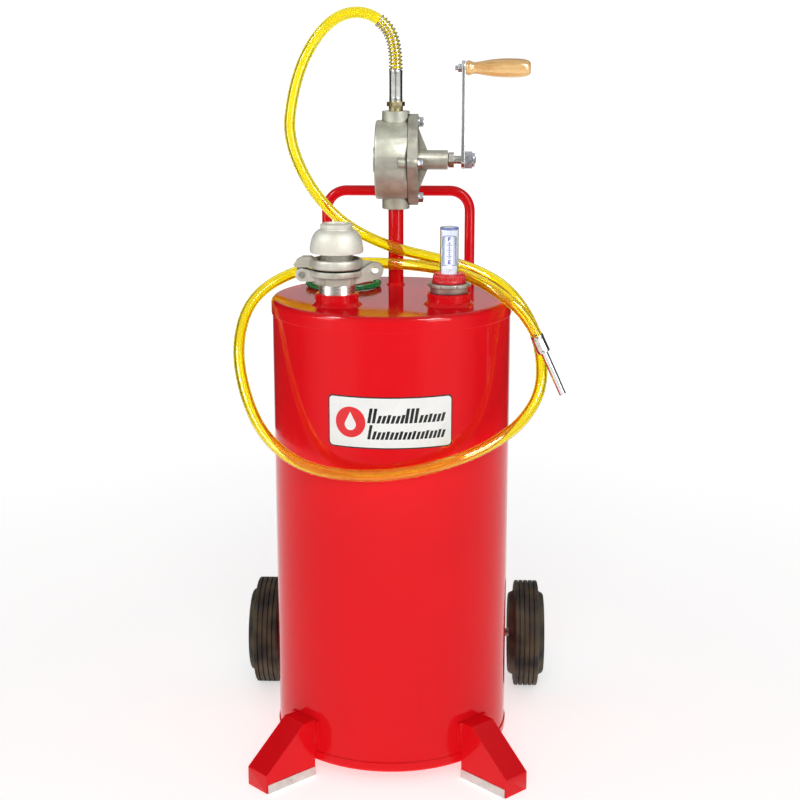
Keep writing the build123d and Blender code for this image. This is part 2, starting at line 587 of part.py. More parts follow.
# ================================================================ level gauge
def make_gauge():
    bushing = z_cylinder(PIPE_2IN_R, 805, BUNG_TOP, GAUGE_X, GAUGE_Y)
    bushing += z_cylinder(31, BUNG_TOP, 841, GAUGE_X, GAUGE_Y)
    bushing += z_cylinder(34, 840, COLLAR_BOTTOM, GAUGE_X, GAUGE_Y)
    lugs = 6
    for i in range(lugs):
        lug = Pos(GAUGE_X, GAUGE_Y, 843.5) * Rot(0, 0, 360 * i / lugs) * Pos(34, 0, 0)
        bushing += lug * Box(4, 9, 5)
    bushing -= z_cylinder(ROD_R + RUNNING, 800, 850, GAUGE_X, GAUGE_Y)
    bushing -= z_cylinder(STEM_R, 800, 818, GAUGE_X, GAUGE_Y)
    save("gauge_bushing", bushing)

    collar = Pos(GAUGE_X, GAUGE_Y, (COLLAR_BOTTOM + COLLAR_TOP) / 2) * Cone(
        28, 24.5, COLLAR_TOP - COLLAR_BOTTOM)
    knurls = 28
    for i in range(knurls):
        angle = 360 * i / knurls
        rib = Pos(GAUGE_X, GAUGE_Y, 852.5) * Rot(0, 0, angle) * Pos(26.6, 0, 0)
        collar += rib * Rot(0, -12, 0) * Box(2.4, 2.6, 11)
    save("gauge_collar", collar - z_cylinder(VIAL_R, 840, 870, GAUGE_X, GAUGE_Y))
    save("gauge_vial", turned([(VIAL_R - 2, COLLAR_BOTTOM), (VIAL_R, COLLAR_BOTTOM),
                               (VIAL_R, VIAL_TOP - 1.5), (VIAL_R - 1.5, VIAL_TOP), (0, VIAL_TOP),
                               (0, VIAL_TOP - 2.5), (VIAL_R - 2, VIAL_TOP - 2.5)],
                              GAUGE_X, GAUGE_Y))
    save("gauge_scale", block(GAUGE_X - 10, GAUGE_X + 10, GAUGE_Y + 7, GAUGE_Y + 8,
                              COLLAR_BOTTOM, VIAL_TOP - 4))

    stem = z_ring(STEM_R, 5.5, STEM_END, 818, GAUGE_X, GAUGE_Y)
    yoke_z = STEM_END + 5
    for low, high in ((6, 8.5), (-8.5, -6)):
        side = make_hull((Pos(PIVOT_X, PIVOT_Z) * Circle(6)).edges()
                         + (Pos(GAUGE_X - 3, yoke_z) * Circle(2)).edges()
                         + (Pos(GAUGE_X + 8, yoke_z) * Circle(2)).edges())
        stem += Pos(0, GAUGE_Y + high, 0) * extrude(Plane.XZ * side, high - low)
    stem += block(GAUGE_X - 5, GAUGE_X + 10, GAUGE_Y - 8.5, GAUGE_Y + 8.5, yoke_z - 2, yoke_z + 2)
    stem -= z_cylinder(5.5, STEM_END - 10, 820, GAUGE_X, GAUGE_Y)
    stem -= y_cylinder(2, GAUGE_Y - 20, GAUGE_Y + 20, PIVOT_X, PIVOT_Z)
    pin = y_cylinder(2, GAUGE_Y - 9.5, GAUGE_Y + 9.5, PIVOT_X, PIVOT_Z)
    pin += y_cylinder(3.2, GAUGE_Y - 11, GAUGE_Y - 9.5, PIVOT_X, PIVOT_Z)
    save("gauge_stem", group([stem, pin]))

    save("gauge_indicator", indicator())
    swing = Pos(PIVOT_X, 0, PIVOT_Z) * Rot(0, -FLOAT_DROP, 0)
    arm, float_body = float_parts()
    save("float_arm", swing * arm)
    save("gauge_float", swing * float_body)


def indicator():
    """The rod that carries the red bead in the vial, on a slotted yoke moved by the float arm."""
    low_z = PIVOT_Z - INDICATOR_TRAVEL / 2
    rod = z_cylinder(ROD_R, low_z + 5, 874, GAUGE_X, GAUGE_Y)
    bead = z_cylinder(5.5, 868, 874, GAUGE_X, GAUGE_Y)
    bead = fillet(bead.edges().filter_by(GeomType.CIRCLE), 1)
    yoke = block(GAUGE_X - 11, GAUGE_X + 11, GAUGE_Y, GAUGE_Y + 3.5, low_z - 6.5, low_z + 6.5)
    slot = block(GAUGE_X - 8.4, GAUGE_X + 8.4, GAUGE_Y - 1, GAUGE_Y + 5, low_z - 3.5, low_z + 3.5)
    return rod + bead + (yoke - slot)


def float_parts():
    """Arm and float with the pivot at the origin, pointing to -X and level."""
    wire_r, wire_y = 1.6, GAUGE_Y - 3.7
    arm = y_cylinder(5, GAUGE_Y - 5.5, GAUGE_Y - 0.5, 0, 0)
    arm += x_cylinder(wire_r, -FLOAT_ARM, -3, wire_y, 0)
    arm += y_cylinder(YOKE_PIN_R, wire_y, GAUGE_Y + 4, -YOKE_ARM, 0)
    arm -= y_cylinder(2 + RUNNING, GAUGE_Y - 20, GAUGE_Y + 20, 0, 0)
    body = y_cylinder(25, wire_y - 35, wire_y + 35, -FLOAT_ARM, 0)
    body = fillet(body.edges().filter_by(GeomType.CIRCLE), 12)
    return arm, body - x_cylinder(wire_r, -FLOAT_ARM, 0, wire_y, 0)


# ================================================================ hose
def cord_path(points, name):
    """Straight runs joined by arcs as large as the runs allow, with the radii printed."""
    places = [Vector(*point) for point in points]
    runs = [places[i + 1] - places[i] for i in range(len(places) - 1)]
    radii = []
    for before, after in zip(runs, runs[1:]):
        half_turn = radians(before.get_angle(after)) / 2
        radii.append(0.45 * min(before.length, after.length) / tan(half_turn))
    print(name, "arc radii", [round(radius) for radius in radii])
    return FilletPolyline(*places, radius=radii)


def tube_along(path, outer, inner=0.0):
    ring = Circle(outer) - Circle(inner) if inner else Circle(outer)
    return sweep(Plane(origin=path @ 0, z_dir=path % 0) * ring, path=path)


def make_hose():
    route = cord_path(HOSE_ROUTE, "hose")
    hose = tube_along(route, HOSE_D / 2)
    expected = pi * (HOSE_D / 2) ** 2 * route.length
    print("hose length", round(route.length), "volume ratio", round(hose.volume / expected, 4))
    save("hose", hose)

    start = [Vector(*point) for point in HOSE_ROUTE[:4]]
    guard_points = [*HOSE_ROUTE[:3], tuple((start[2] + start[3]) / 2)]
    ends = [start[1] - start[0], start[2] - start[1], start[3] - start[2]]
    radii = [0.45 * min(a.length, b.length) / tan(radians(a.get_angle(b)) / 2)
             for a, b in zip(ends, ends[1:])]
    guard = tube_along(FilletPolyline(*guard_points, radius=radii), GUARD_OUTER, GUARD_INNER)
    save("spring_guard", guard)

    fitting = z_cylinder(12.3, OUTLET_TOP - 14, 1121.5, RISER_X, RISER_Y)
    fitting += hex_on_z(28, 1121, 1128.5, RISER_X, RISER_Y, turn=12)
    fitting += z_cylinder(8, 1128, HOSE_ROUTE[0][2], RISER_X, RISER_Y)
    fitting -= z_cylinder(6.2, 1000, 1200, RISER_X, RISER_Y)
    save("hose_fitting", fitting)
    save("hose_ferrule", z_ring(11.5, 8, 1128.5, HOSE_ROUTE[0][2], RISER_X, RISER_Y))

    end = Vector(*HOSE_ROUTE[-1])
    along = (end - Vector(*HOSE_ROUTE[-2])).normalized()
    ferrule = extrude(Plane(origin=end, z_dir=along) * Circle(10.8), NOZZLE_FERRULE)
    seat = end + along * (NOZZLE_FERRULE - 8)
    tip = end + along * (NOZZLE_FERRULE + NOZZLE_LENGTH - NOZZLE_TIP)
    tube_ring = Circle(NOZZLE_R) - Circle(NOZZLE_BORE)
    tip_ring = Circle(NOZZLE_TIP_R) - Circle(NOZZLE_BORE)
    tube = extrude(Plane(origin=seat, z_dir=along) * tube_ring, NOZZLE_LENGTH - NOZZLE_TIP + 8)
    save("nozzle_tube", tube + extrude(Plane(origin=tip, z_dir=along) * tip_ring, NOZZLE_TIP))
    save("nozzle_ferrule", ferrule - extrude(Plane(origin=seat, z_dir=along) * Circle(NOZZLE_R), 9))


# ================================================================ bonding wire
def make_bonding_wire():
    """A ring-shaped hank of wire lying on the tank, a grounding stud and a spring clamp."""
    z = DRUM_TOP + HANK_THICK + 0.1
    save("ground_wire", Pos(HANK_X, HANK_Y, z) * Torus(HANK_R, HANK_THICK))
    inside = HANK_R - HANK_THICK - 0.2

    stud_x, stud_y = HANK_X + 18, HANK_Y + 20
    stud = z_cylinder(6, DRUM_TOP, DRUM_TOP + 2, stud_x, stud_y)
    stud += z_cylinder(3, DRUM_TOP, DRUM_TOP + 13, stud_x, stud_y)
    eye = z_ring(6.5, 3, DRUM_TOP + 2, DRUM_TOP + 3.2, stud_x, stud_y)
    lug_z = DRUM_TOP + 4
    lug_end = sqrt(inside ** 2 - (stud_y - HANK_Y) ** 2) + HANK_X
    eye += block(stud_x + 5, stud_x + 10, stud_y - 3.5, stud_y + 3.5, DRUM_TOP + 2, DRUM_TOP + 3.2)
    eye += x_cylinder(2.6, stud_x + 9, lug_end - 1, stud_y, lug_z + 0.6)
    save("ground_terminal", eye)
    nut = hex_on_z(10, DRUM_TOP + 3.2, DRUM_TOP + 8.2, stud_x, stud_y, turn=10)
    nut -= z_cylinder(3, DRUM_TOP, DRUM_TOP + 12, stud_x, stud_y)
    save("ground_stud", group([stud, nut]))

    jaw_z = DRUM_TOP + 6.2
    clamp = Pos(HANK_X - 22, HANK_Y - 12, jaw_z) * (Rot(0, 90, 0) * Cylinder(6, 14))
    jaws = make_face(Polyline((-26, -3), (10, -6.5), (30, -2.6), (30, 2.6), (10, 6.5), (-26, 3),
                              close=True))
    clamp += Pos(HANK_X - 22, HANK_Y - 12, jaw_z - 5) * extrude(jaws, 10)
    save("ground_clamp", clamp)


make_drum()
make_label()
make_feet()
make_handle()
make_wheels()
make_suction()
make_pump_body()
make_pump_cover()
make_pump_moving()
make_packing()
make_crank()
make_fill_body()
make_fill_lid()
make_gauge()
make_hose()
make_bonding_wire()
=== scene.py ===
"""Looks for the drum caddy with a rotary hand pump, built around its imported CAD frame.

Lengths are metres in the row's frame. Places come from the frame; the hose's route repeats part.py's.
"""

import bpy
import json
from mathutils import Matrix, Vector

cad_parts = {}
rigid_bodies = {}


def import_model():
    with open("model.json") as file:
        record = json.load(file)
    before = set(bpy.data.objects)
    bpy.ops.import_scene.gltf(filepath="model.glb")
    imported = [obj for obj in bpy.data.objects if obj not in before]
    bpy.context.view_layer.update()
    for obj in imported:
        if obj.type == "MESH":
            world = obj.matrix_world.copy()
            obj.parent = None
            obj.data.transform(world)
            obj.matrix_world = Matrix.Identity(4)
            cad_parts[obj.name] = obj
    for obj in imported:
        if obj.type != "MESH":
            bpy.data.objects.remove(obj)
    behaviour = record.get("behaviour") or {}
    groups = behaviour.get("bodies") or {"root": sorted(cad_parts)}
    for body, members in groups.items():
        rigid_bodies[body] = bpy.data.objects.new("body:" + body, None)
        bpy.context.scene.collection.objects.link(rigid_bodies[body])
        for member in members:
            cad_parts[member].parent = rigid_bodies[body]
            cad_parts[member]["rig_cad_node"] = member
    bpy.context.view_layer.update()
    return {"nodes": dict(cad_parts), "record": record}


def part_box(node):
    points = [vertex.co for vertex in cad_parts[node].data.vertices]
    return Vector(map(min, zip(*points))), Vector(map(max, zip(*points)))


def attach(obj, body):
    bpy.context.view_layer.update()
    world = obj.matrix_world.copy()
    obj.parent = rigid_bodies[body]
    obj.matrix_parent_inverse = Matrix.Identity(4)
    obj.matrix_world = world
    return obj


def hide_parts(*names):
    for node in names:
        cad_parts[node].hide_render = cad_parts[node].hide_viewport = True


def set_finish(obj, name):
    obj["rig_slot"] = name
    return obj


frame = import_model()

import json
from math import asin, cos, pi, radians, sin, sqrt

import bmesh
import bpy
from mathutils import Vector

scene = bpy.context.scene
nodes = frame["nodes"]


def middle(node):
    """The middle of a CAD node's box at rest."""
    low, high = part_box(node)
    return (low + high) / 2


# ---------------------------------------------------------------- camera
CAMERA_PLACE = (0.1148, -2.6710, 1.2730)
CAMERA_TILT, CAMERA_TURN = 76.146, 2.2


def make_camera():
    """A long lens a little above the caddy, looking slightly down and to the left."""
    data = bpy.data.cameras.new("camera")
    data.lens = 70.236
    data.sensor_width = 36
    camera = bpy.data.objects.new("camera", data)
    camera.location = CAMERA_PLACE
    camera.rotation_euler = (radians(CAMERA_TILT), 0, radians(CAMERA_TURN))
    scene.collection.objects.link(camera)
    scene.camera = camera


make_camera()


# ---------------------------------------------------------------- mesh helpers
WELD_REACH = 1e-6


def add_object(name, data, body, *replaced, slot=None):
    """Link an object, let it ride on a body, and say which CAD nodes and slot it stands for."""
    piece = bpy.data.objects.new(name, data)
    scene.collection.objects.link(piece)
    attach(piece, body)
    if replaced:
        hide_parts(*replaced)
    if slot:
        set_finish(piece, slot)
    return piece


def mesh_from(name, points, faces, smooth=True):
    """A mesh of points and faces, shaded smooth unless it is flat work."""
    data = bpy.data.meshes.new(name)
    data.from_pydata([tuple(point) for point in points], [], faces)
    data.update()
    if smooth:
        data.polygons.foreach_set("use_smooth", [True] * len(data.polygons))
    return data


def welded(piece):
    """Merge the points where a closed outline starts and ends."""
    piece.modifiers.new("weld", "WELD").merge_threshold = WELD_REACH
    return piece


def bevelled(piece, width):
    """Round a piece's sharp edges without touching its own vertices."""
    bevel = welded(piece).modifiers.new("bevel", "BEVEL")
    bevel.width = width
    bevel.segments = 2
    bevel.limit_method = "ANGLE"
    bevel.angle_limit = radians(35)
    bevel.harden_normals = True


def solid_of_rings(name, rings, closed_ends=True):
    """A tube whose rings of points are joined in order, with flat ends."""
    count = len(rings[0])
    points = [point for ring in rings for point in ring]
    faces = []
    for i in range(len(rings) - 1):
        for j in range(count):
            k = (j + 1) % count
            faces.append((i * count + j, i * count + k, (i + 1) * count + k, (i + 1) * count + j))
    if closed_ends:
        faces.append(tuple(reversed(range(count))))
        faces.append(tuple(range((len(rings) - 1) * count, len(rings) * count)))
    return mesh_from(name, points, faces)


def frames_along(path):
    """A tangent and two turning-free normals at each point of a path."""
    tangents = []
    for i in range(len(path)):
        ahead, behind = path[min(i + 1, len(path) - 1)], path[max(i - 1, 0)]
        tangents.append((ahead - behind).normalized())
    side = tangents[0].orthogonal().normalized()
    frames = []
    for tangent in tangents:
        side = (side - tangent * side.dot(tangent)).normalized()
        frames.append((tangent, side, tangent.cross(side)))
    return frames


def lengths_along(path):
    """The distance from the path's start to each of its points."""
    total = [0.0]
    for before, after in zip(path, path[1:]):
        total.append(total[-1] + (after - before).length)
    return total


def point_at(path, lengths, distance):
    """The point of the path at a distance along it, and the index before it."""
    low, high = 0, len(path) - 2
    while low < high:
        centre = (low + high + 1) // 2
        if lengths[centre] <= distance:
            low = centre
        else:
            high = centre - 1
    step = lengths[low + 1] - lengths[low]
    share = (distance - lengths[low]) / step if step else 0.0
    return path[low].lerp(path[low + 1], share), low


def line_of(points, resolution=12):
    """The points along the smooth open spline that a list of control points makes."""
    data = bpy.data.curves.new("line", "CURVE")
    data.dimensions = "3D"
    data.resolution_u = resolution
    spline = data.splines.new("NURBS")
    spline.points.add(len(points) - 1)
    for control, point in zip(spline.points, points):
        control.co = (*point, 1.0)
    spline.order_u = 3
    spline.use_endpoint_u = True
    carrier = bpy.data.objects.new("line", data)
    scene.collection.objects.link(carrier)
    bpy.context.view_layer.update()
    mesh = bpy.data.meshes.new_from_object(carrier)
    line = [vertex.co.copy() for vertex in mesh.vertices]
    bpy.data.objects.remove(carrier)
    bpy.data.meshes.remove(mesh)
    bpy.data.curves.remove(data)
    return line


def ring_of(centre, side, up, radius, count):
    """A circle of points round a centre, in the plane of side and up."""
    return [centre + (side * cos(2 * pi * j / count) + up * sin(2 * pi * j / count)) * radius
            for j in range(count)]


def wire_mesh(name, line, radius, sides):
    """A round wire along a line of points, with slightly domed ends."""
    frames = frames_along(line)
    rings = [ring_of(point, side, up, radius, sides) for point, (_, side, up) in zip(line, frames)]
    for end, sign in ((0, -1), (-1, 1)):
        along, side, up = frames[end]
        for share in (0.8, 0.45):
            centre = line[end] + along * sign * radius * 0.6 * sqrt(1 - share ** 2)
            ring = ring_of(centre, side, up, radius * share, sides)
            rings = [ring] + rings if end == 0 else rings + [ring]
    return solid_of_rings(name, rings)


# ---------------------------------------------------------------- hose
# The route runs from the pump's outlet over its top bend, down the left, behind the fill cap and the gauge,
# down the drum's right side, round its front, up its left, and back over the top to the nozzle.
# SHIFT_Y moves it from the drum's axis to the row's origin.
HOSE_D = 0.01905
HOSE_BORE_D = 0.0127
DRUM_ROUTE = [
    (0.003, 0.110, 1.182), (0.003, 0.110, 1.224), (-0.015, 0.110, 1.260),
    (-0.052, 0.109, 1.280), (-0.093, 0.106, 1.274), (-0.128, 0.102, 1.244),
    (-0.157, 0.095, 1.195), (-0.174, 0.087, 1.135), (-0.181, 0.080, 1.070),
    (-0.147, 0.074, 0.987), (-0.087, 0.072, 0.921), (-0.007, 0.074, 0.882),
    (0.076, 0.046, 0.867), (0.140, 0.008, 0.856), (0.192, -0.036, 0.834),
    (0.230, -0.054, 0.789), (0.253, -0.056, 0.729), (0.254, -0.080, 0.667),
    (0.224, -0.122, 0.625), (0.177, -0.165, 0.598), (0.117, -0.198, 0.577),
    (0.034, -0.217, 0.559), (-0.055, -0.218, 0.553), (-0.141, -0.199, 0.564),
    (-0.206, -0.155, 0.604), (-0.243, -0.100, 0.665), (-0.260, -0.046, 0.735),
    (-0.243, 0.011, 0.802), (-0.179, 0.057, 0.841), (-0.091, 0.070, 0.855),
    (-0.002, 0.064, 0.856), (0.070, 0.020, 0.856), (0.134, -0.034, 0.851),
    (0.185, -0.082, 0.828), (0.229, -0.091, 0.791), (0.244, -0.088, 0.758),
]
SHIFT_Y = middle("riser_pipe").y - DRUM_ROUTE[0][1]
HOSE_ROUTE = [Vector((x, y + SHIFT_Y, z)) for x, y, z in DRUM_ROUTE]
HOSE_LINE = line_of(HOSE_ROUTE)


def make_hose():
    """A thick-walled tube along the route, open along its bore."""
    count = 28
    frames = frames_along(HOSE_LINE)
    outer = [ring_of(point, side, up, HOSE_D / 2, count)
             for point, (_, side, up) in zip(HOSE_LINE, frames)]
    inner = [ring_of(point, side, up, HOSE_BORE_D / 2, count)
             for point, (_, side, up) in zip(HOSE_LINE, frames)]
    rings = outer + inner[::-1] + [outer[0]]
    data = solid_of_rings("hose", rings, closed_ends=False)
    hose = add_object("dispensing_hose", data, "tank", "hose", slot="hose_pvc")
    return welded(hose)


hose = make_hose()


def helix_round(path, start, end, radius, turns, per_turn=20, flat_turns=0.6):
    """Points of a coil round a path, from one distance along it to another.

    The coil doesn't advance over the flat turns at each end, as on a spring with closed ends.
    """
    lengths = lengths_along(path)
    frames = frames_along(path)
    points = []
    for i in range(round(turns * per_turn) + 1):
        turn = i / per_turn
        share = min(max((turn - flat_turns) / (turns - 2 * flat_turns), 0.0), 1.0)
        centre, k = point_at(path, lengths, start + (end - start) * share)
        _, side, up = frames[k]
        points.append(centre + (side * cos(2 * pi * turn) + up * sin(2 * pi * turn)) * radius)
    return points


def make_spring_guard():
    """The bend guard: a coil of wire over the hose's first stretch, with closed turns at its ends."""
    wire_r, clearance = 0.00125, 0.0002
    start, end = 0.0012, 0.0905
    points = helix_round(HOSE_LINE, start, end, HOSE_D / 2 + wire_r + clearance, turns=15.5)
    data = wire_mesh("spring_guard_wire", line_of(points, resolution=3), wire_r, sides=12)
    return add_object("spring_guard_wire", data, "tank", "spring_guard", slot="spring_steel")


spring = make_spring_guard()


def crimped_tube(name, start, along, length, outer, inner, facets, depth, lips):
    """A ferrule squeezed into flats over its middle, with round lips at its ends.

    Each station is a distance from the start, a change of radius, and a share of the squeeze.
    """
    count = facets * 6
    side = along.orthogonal().normalized()
    up = along.cross(side)
    stations = [(0.0, -0.0004, 0.0), (0.0006, 0.0, 0.0), (lips, 0.0, 0.0),
                (lips + 0.0015, -0.2 * depth, 0.8), (lips + 0.003, -0.3 * depth, 1.0),
                (length - lips - 0.003, -0.3 * depth, 1.0), (length - lips - 0.0015, -0.2 * depth, 0.8),
                (length - lips, 0.0, 0.0), (length - 0.0006, 0.0, 0.0), (length, -0.0004, 0.0)]
    rings = []
    for distance, offset, squeeze in stations:
        ring = []
        for j in range(count):
            angle = 2 * pi * j / count
            crease = abs(cos(angle * facets / 2)) ** 3
            radius = outer + offset - depth * squeeze * (1 - crease)
            ring.append(start + along * distance + (side * cos(angle) + up * sin(angle)) * radius)
        rings.append(ring)
    bore = [ring_of(start + along * distance, side, up, inner, count) for distance in (length, 0.0)]
    return solid_of_rings(name, rings + bore + [rings[0]], closed_ends=False)


def make_ferrules():
    """The crimped ferrules at the pump and at the nozzle; the second is returned."""
    low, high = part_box("hose_ferrule")
    axis = middle("hose_ferrule")
    data = crimped_tube("hose_ferrule_crimped", Vector((axis.x, axis.y, low.z)), Vector((0, 0, 1)),
                        high.z - low.z, outer=0.0115, inner=0.0082, facets=8, depth=0.0007, lips=0.006)
    add_object("hose_ferrule_crimped", data, "tank", "hose_ferrule", slot="ferrule_zinc")
    end = HOSE_ROUTE[-1]
    along = (end - HOSE_ROUTE[-2]).normalized()
    lap = 0.003
    data = crimped_tube("nozzle_ferrule_crimped", end - along * lap, along, 0.031,
                        outer=0.0108, inner=0.0064, facets=8, depth=0.0008, lips=0.004)
    return add_object("nozzle_ferrule_crimped", data, "tank", "nozzle_ferrule", slot="ferrule_zinc")


nozzle_ferrule = make_ferrules()


# ---------------------------------------------------------------- bonding wire
WIRE_D = 0.0034
HANK_TURNS = 5.41
HANK_TWISTS = 3 + 1 / 6
STRAND_R = 0.0037
POINTS_PER_TURN = 30


def make_bonding_wire():
    """Twisted turns of green wire in a ring on the tank top, from its lug to its clamp."""
    low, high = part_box("ground_wire")
    centre = (low + high) / 2
    ring_r = (high.x - low.x) / 2 - (high.z - low.z) / 2
    lug_low, lug_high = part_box("ground_terminal")
    lug = Vector((lug_high.x, (lug_low.y + lug_high.y) / 2, lug_low.z + 0.0026))
    clamp_low, clamp_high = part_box("ground_clamp")
    tail = Vector((clamp_low.x, (clamp_low.y + clamp_high.y) / 2, (clamp_low.z + clamp_high.z) / 2))
    points = [lug + Vector((-0.003, 0, 0)), lug + Vector((0.002, 0, 0)),
              lug + Vector((0.0075, -0.001, 0.0008))]
    for i in range(round(HANK_TURNS * POINTS_PER_TURN) + 1):
        turned = 2 * pi * i / POINTS_PER_TURN
        angle = radians(2) - turned
        roll = turned * HANK_TWISTS + radians(20)
        wobble = 0.0006 * sin(2.3 * turned + 1.0)
        radius = ring_r + STRAND_R * cos(roll) + wobble
        points.append(Vector((centre.x + radius * cos(angle), centre.y + radius * sin(angle),
                              centre.z + STRAND_R * sin(roll))))
    points += [tail + Vector((-0.0045, -0.003, 0.0)), tail + Vector((0.0, 0, 0)),
               tail + Vector((0.005, 0, 0))]
    line = line_of(points, resolution=5)
    data = wire_mesh("bonding_wire", line, WIRE_D / 2, sides=14)
    wire = add_object("bonding_wire", data, "tank", "ground_wire", slot="wire_green")


make_bonding_wire()


# ---------------------------------------------------------------- label
DRUM_AXIS = Vector((middle("top_head").x, middle("top_head").y, 0))
SHELL_R = 0.2023
LABEL_TURN = radians(1.8)
LABEL_WIDTH = 2 * SHELL_R * radians(29.6)
LABEL_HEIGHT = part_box("front_label")[1].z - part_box("front_label")[0].z
LABEL_Z = middle("front_label").z


def on_drum(across, up, lift):
    """A place on the drum's front, across and up from the label's middle, lifted off the shell."""
    angle = -pi / 2 + LABEL_TURN + across / SHELL_R
    return DRUM_AXIS + Vector(((SHELL_R + lift) * cos(angle), (SHELL_R + lift) * sin(angle),
                               LABEL_Z + up))


def patch(name, columns, low, high):
    """A thin film on the shell; each column gives its place across, its bottom and its top."""
    points = []
    for across, bottom, top in columns:
        for lift in (low, high):
            points += [on_drum(across, bottom, lift), on_drum(across, top, lift)]
    faces = []
    for i in range(len(columns) - 1):
        a, b = 4 * i, 4 * i + 4
        faces += [(a + 2, b + 2, b + 3, a + 3), (a + 1, b + 1, b, a),
                  (a, b, b + 2, a + 2), (a + 3, b + 3, b + 1, a + 1)]
    end = 4 * (len(columns) - 1)
    faces += [(0, 2, 3, 1), (end + 1, end + 3, end + 2, end)]
    data = mesh_from(name, points, faces, smooth=False)
    shape = bmesh.new()
    shape.from_mesh(data)
    bmesh.ops.remove_doubles(shape, verts=shape.verts, dist=1e-6)
    bmesh.ops.dissolve_degenerate(shape, edges=shape.edges, dist=1e-7)
    shape.to_mesh(data)
    shape.free()
    return data


def steps(low, high, count):
    """Even places from low to high."""
    return [low + (high - low) * i / count for i in range(count + 1)]


def rounded_columns(width, height, corner):
    """Columns of a rounded rectangle round the label's middle."""
    half, top = width / 2, height / 2
    arc = [half - corner + corner * sin(pi / 2 * share) for share in steps(0.0, 1.0, 6)]
    straight = steps(-half + corner, half - corner, 60)[1:-1]
    places = [-across for across in reversed(arc)] + straight + arc
    columns = []
    for across in places:
        inset = max(abs(across) - (half - corner), 0.0)
        rise = top - corner + sqrt(max(corner ** 2 - inset ** 2, 0.0))
        columns.append((across, -rise, rise))
    return columns


def chords(radius, count=24):
    """Places across a disc, closer at its edges, each with the disc's half height there."""
    for i in range(count + 1):
        across = -radius * cos(pi * i / count)
        yield across, sqrt(max(radius ** 2 - across ** 2, 0.0))


def disc_columns(centre, radius):
    return [(centre + across, -rise, rise) for across, rise in chords(radius)]


def drop_columns(centre, radius, tip, sink):
    """A drop: a circle below, and straight sides that meet at the tip above it."""
    touch = radius * sqrt(1 - (radius / tip) ** 2)
    touch_z = radius ** 2 / tip
    columns = []
    for across, rise in chords(radius):
        top = tip - (tip - touch_z) * abs(across) / touch if abs(across) < touch else rise
        columns.append((centre + across, -rise - sink, top - sink))
    return columns


def slanted_columns(left, right, bottom, top, lean):
    """A block with leaning sides, in columns close enough to follow the shell."""
    slope = (top - bottom) / lean
    places = sorted({left, left + lean, right, right + lean, *steps(left, right + lean, 12)})
    return [(across, max(bottom, bottom + (across - right) * slope),
             min(top, bottom + (across - left) * slope)) for across in places]


def make_label():
    """A black-edged white label with a drop in a red disc and two rows of tall (T) and short (s) bars."""
    back, border_lift, face_lift, ink_lift, drop_lift = 0.00006, 0.0002, 0.0003, 0.00042, 0.0005
    edge, corner, face_corner = 0.0022, 0.008, 0.0065
    disc_at, disc_r = -0.0654, 0.0254
    left, right, lean, filled = -0.0372, 0.0905, 0.0042, 0.68
    rows = ((0.0, 0.0244, "TTssssssTTTssssss"), (-0.0269, 0.0238, "Tsssssssssssssssss"))
    face = rounded_columns(LABEL_WIDTH - 2 * edge, LABEL_HEIGHT - 2 * edge, face_corner)
    shapes = [("label_border", rounded_columns(LABEL_WIDTH, LABEL_HEIGHT, corner), border_lift),
              ("label_face", face, face_lift),
              ("label_disc", disc_columns(disc_at, disc_r), ink_lift),
              ("label_drop", drop_columns(disc_at, radius=0.0095, tip=0.021, sink=0.004), drop_lift)]
    for row, (bottom, height, bars) in enumerate(rows):
        pitch = (right - left) / len(bars)
        for i, bar in enumerate(bars):
            tall = height if bar == "T" else (0.52 + 0.06 * (i % 3 == 1)) * height
            at = left + i * pitch
            columns = slanted_columns(at, at + filled * pitch, bottom, bottom + tall, lean)
            shapes.append((f"label_mark_{row}_{i}", columns, ink_lift))
    for name, columns, lift in shapes:
        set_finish(add_object(name, patch(name, columns, back, lift), "tank"), "label_film")
    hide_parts("front_label")


make_label()


# ---------------------------------------------------------------- level gauge
GAUGE = middle("gauge_vial")
COLLAR_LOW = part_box("gauge_collar")[0].z


def make_collar():
    """The red collar with moulded grip ribs round its upper half.

    Each corner of the outline is a height, a radius, and how far the ribs stand out there.
    """
    ribs, per_rib, rib_depth = 30, 8, 0.0017
    count = ribs * per_rib
    bore = 0.01585
    outline = [(0.0, 0.0268, 0), (0.0008, 0.0278, 0), (0.0042, 0.0280, 0), (0.0052, 0.0272, 0),
               (0.0058, 0.0262, 0.4), (0.0066, 0.0258, 1), (0.0130, 0.0246, 1), (0.0139, 0.0243, 0.4),
               (0.0146, 0.0238, 0), (0.0156, 0.0231, 0), (0.0160, 0.0222, 0), (0.0160, bore, 0),
               (0.0, bore, 0)]
    rings = []
    for height, radius, ribbed in outline:
        ring = []
        for j in range(count):
            wave = cos(2 * pi * (j % per_rib) / per_rib)
            rise = rib_depth * ribbed * min(max(0.5 + 1.1 * wave, 0.0), 1.0)
            angle = 2 * pi * j / count
            ring.append((GAUGE.x + (radius + rise) * cos(angle),
                         GAUGE.y + (radius + rise) * sin(angle), COLLAR_LOW + height))
        rings.append(ring)
    data = solid_of_rings("ribbed_collar", rings + [rings[0]], closed_ends=False)
    welded(add_object("ribbed_collar", data, "tank", "gauge_collar", slot="gauge_red_plastic"))


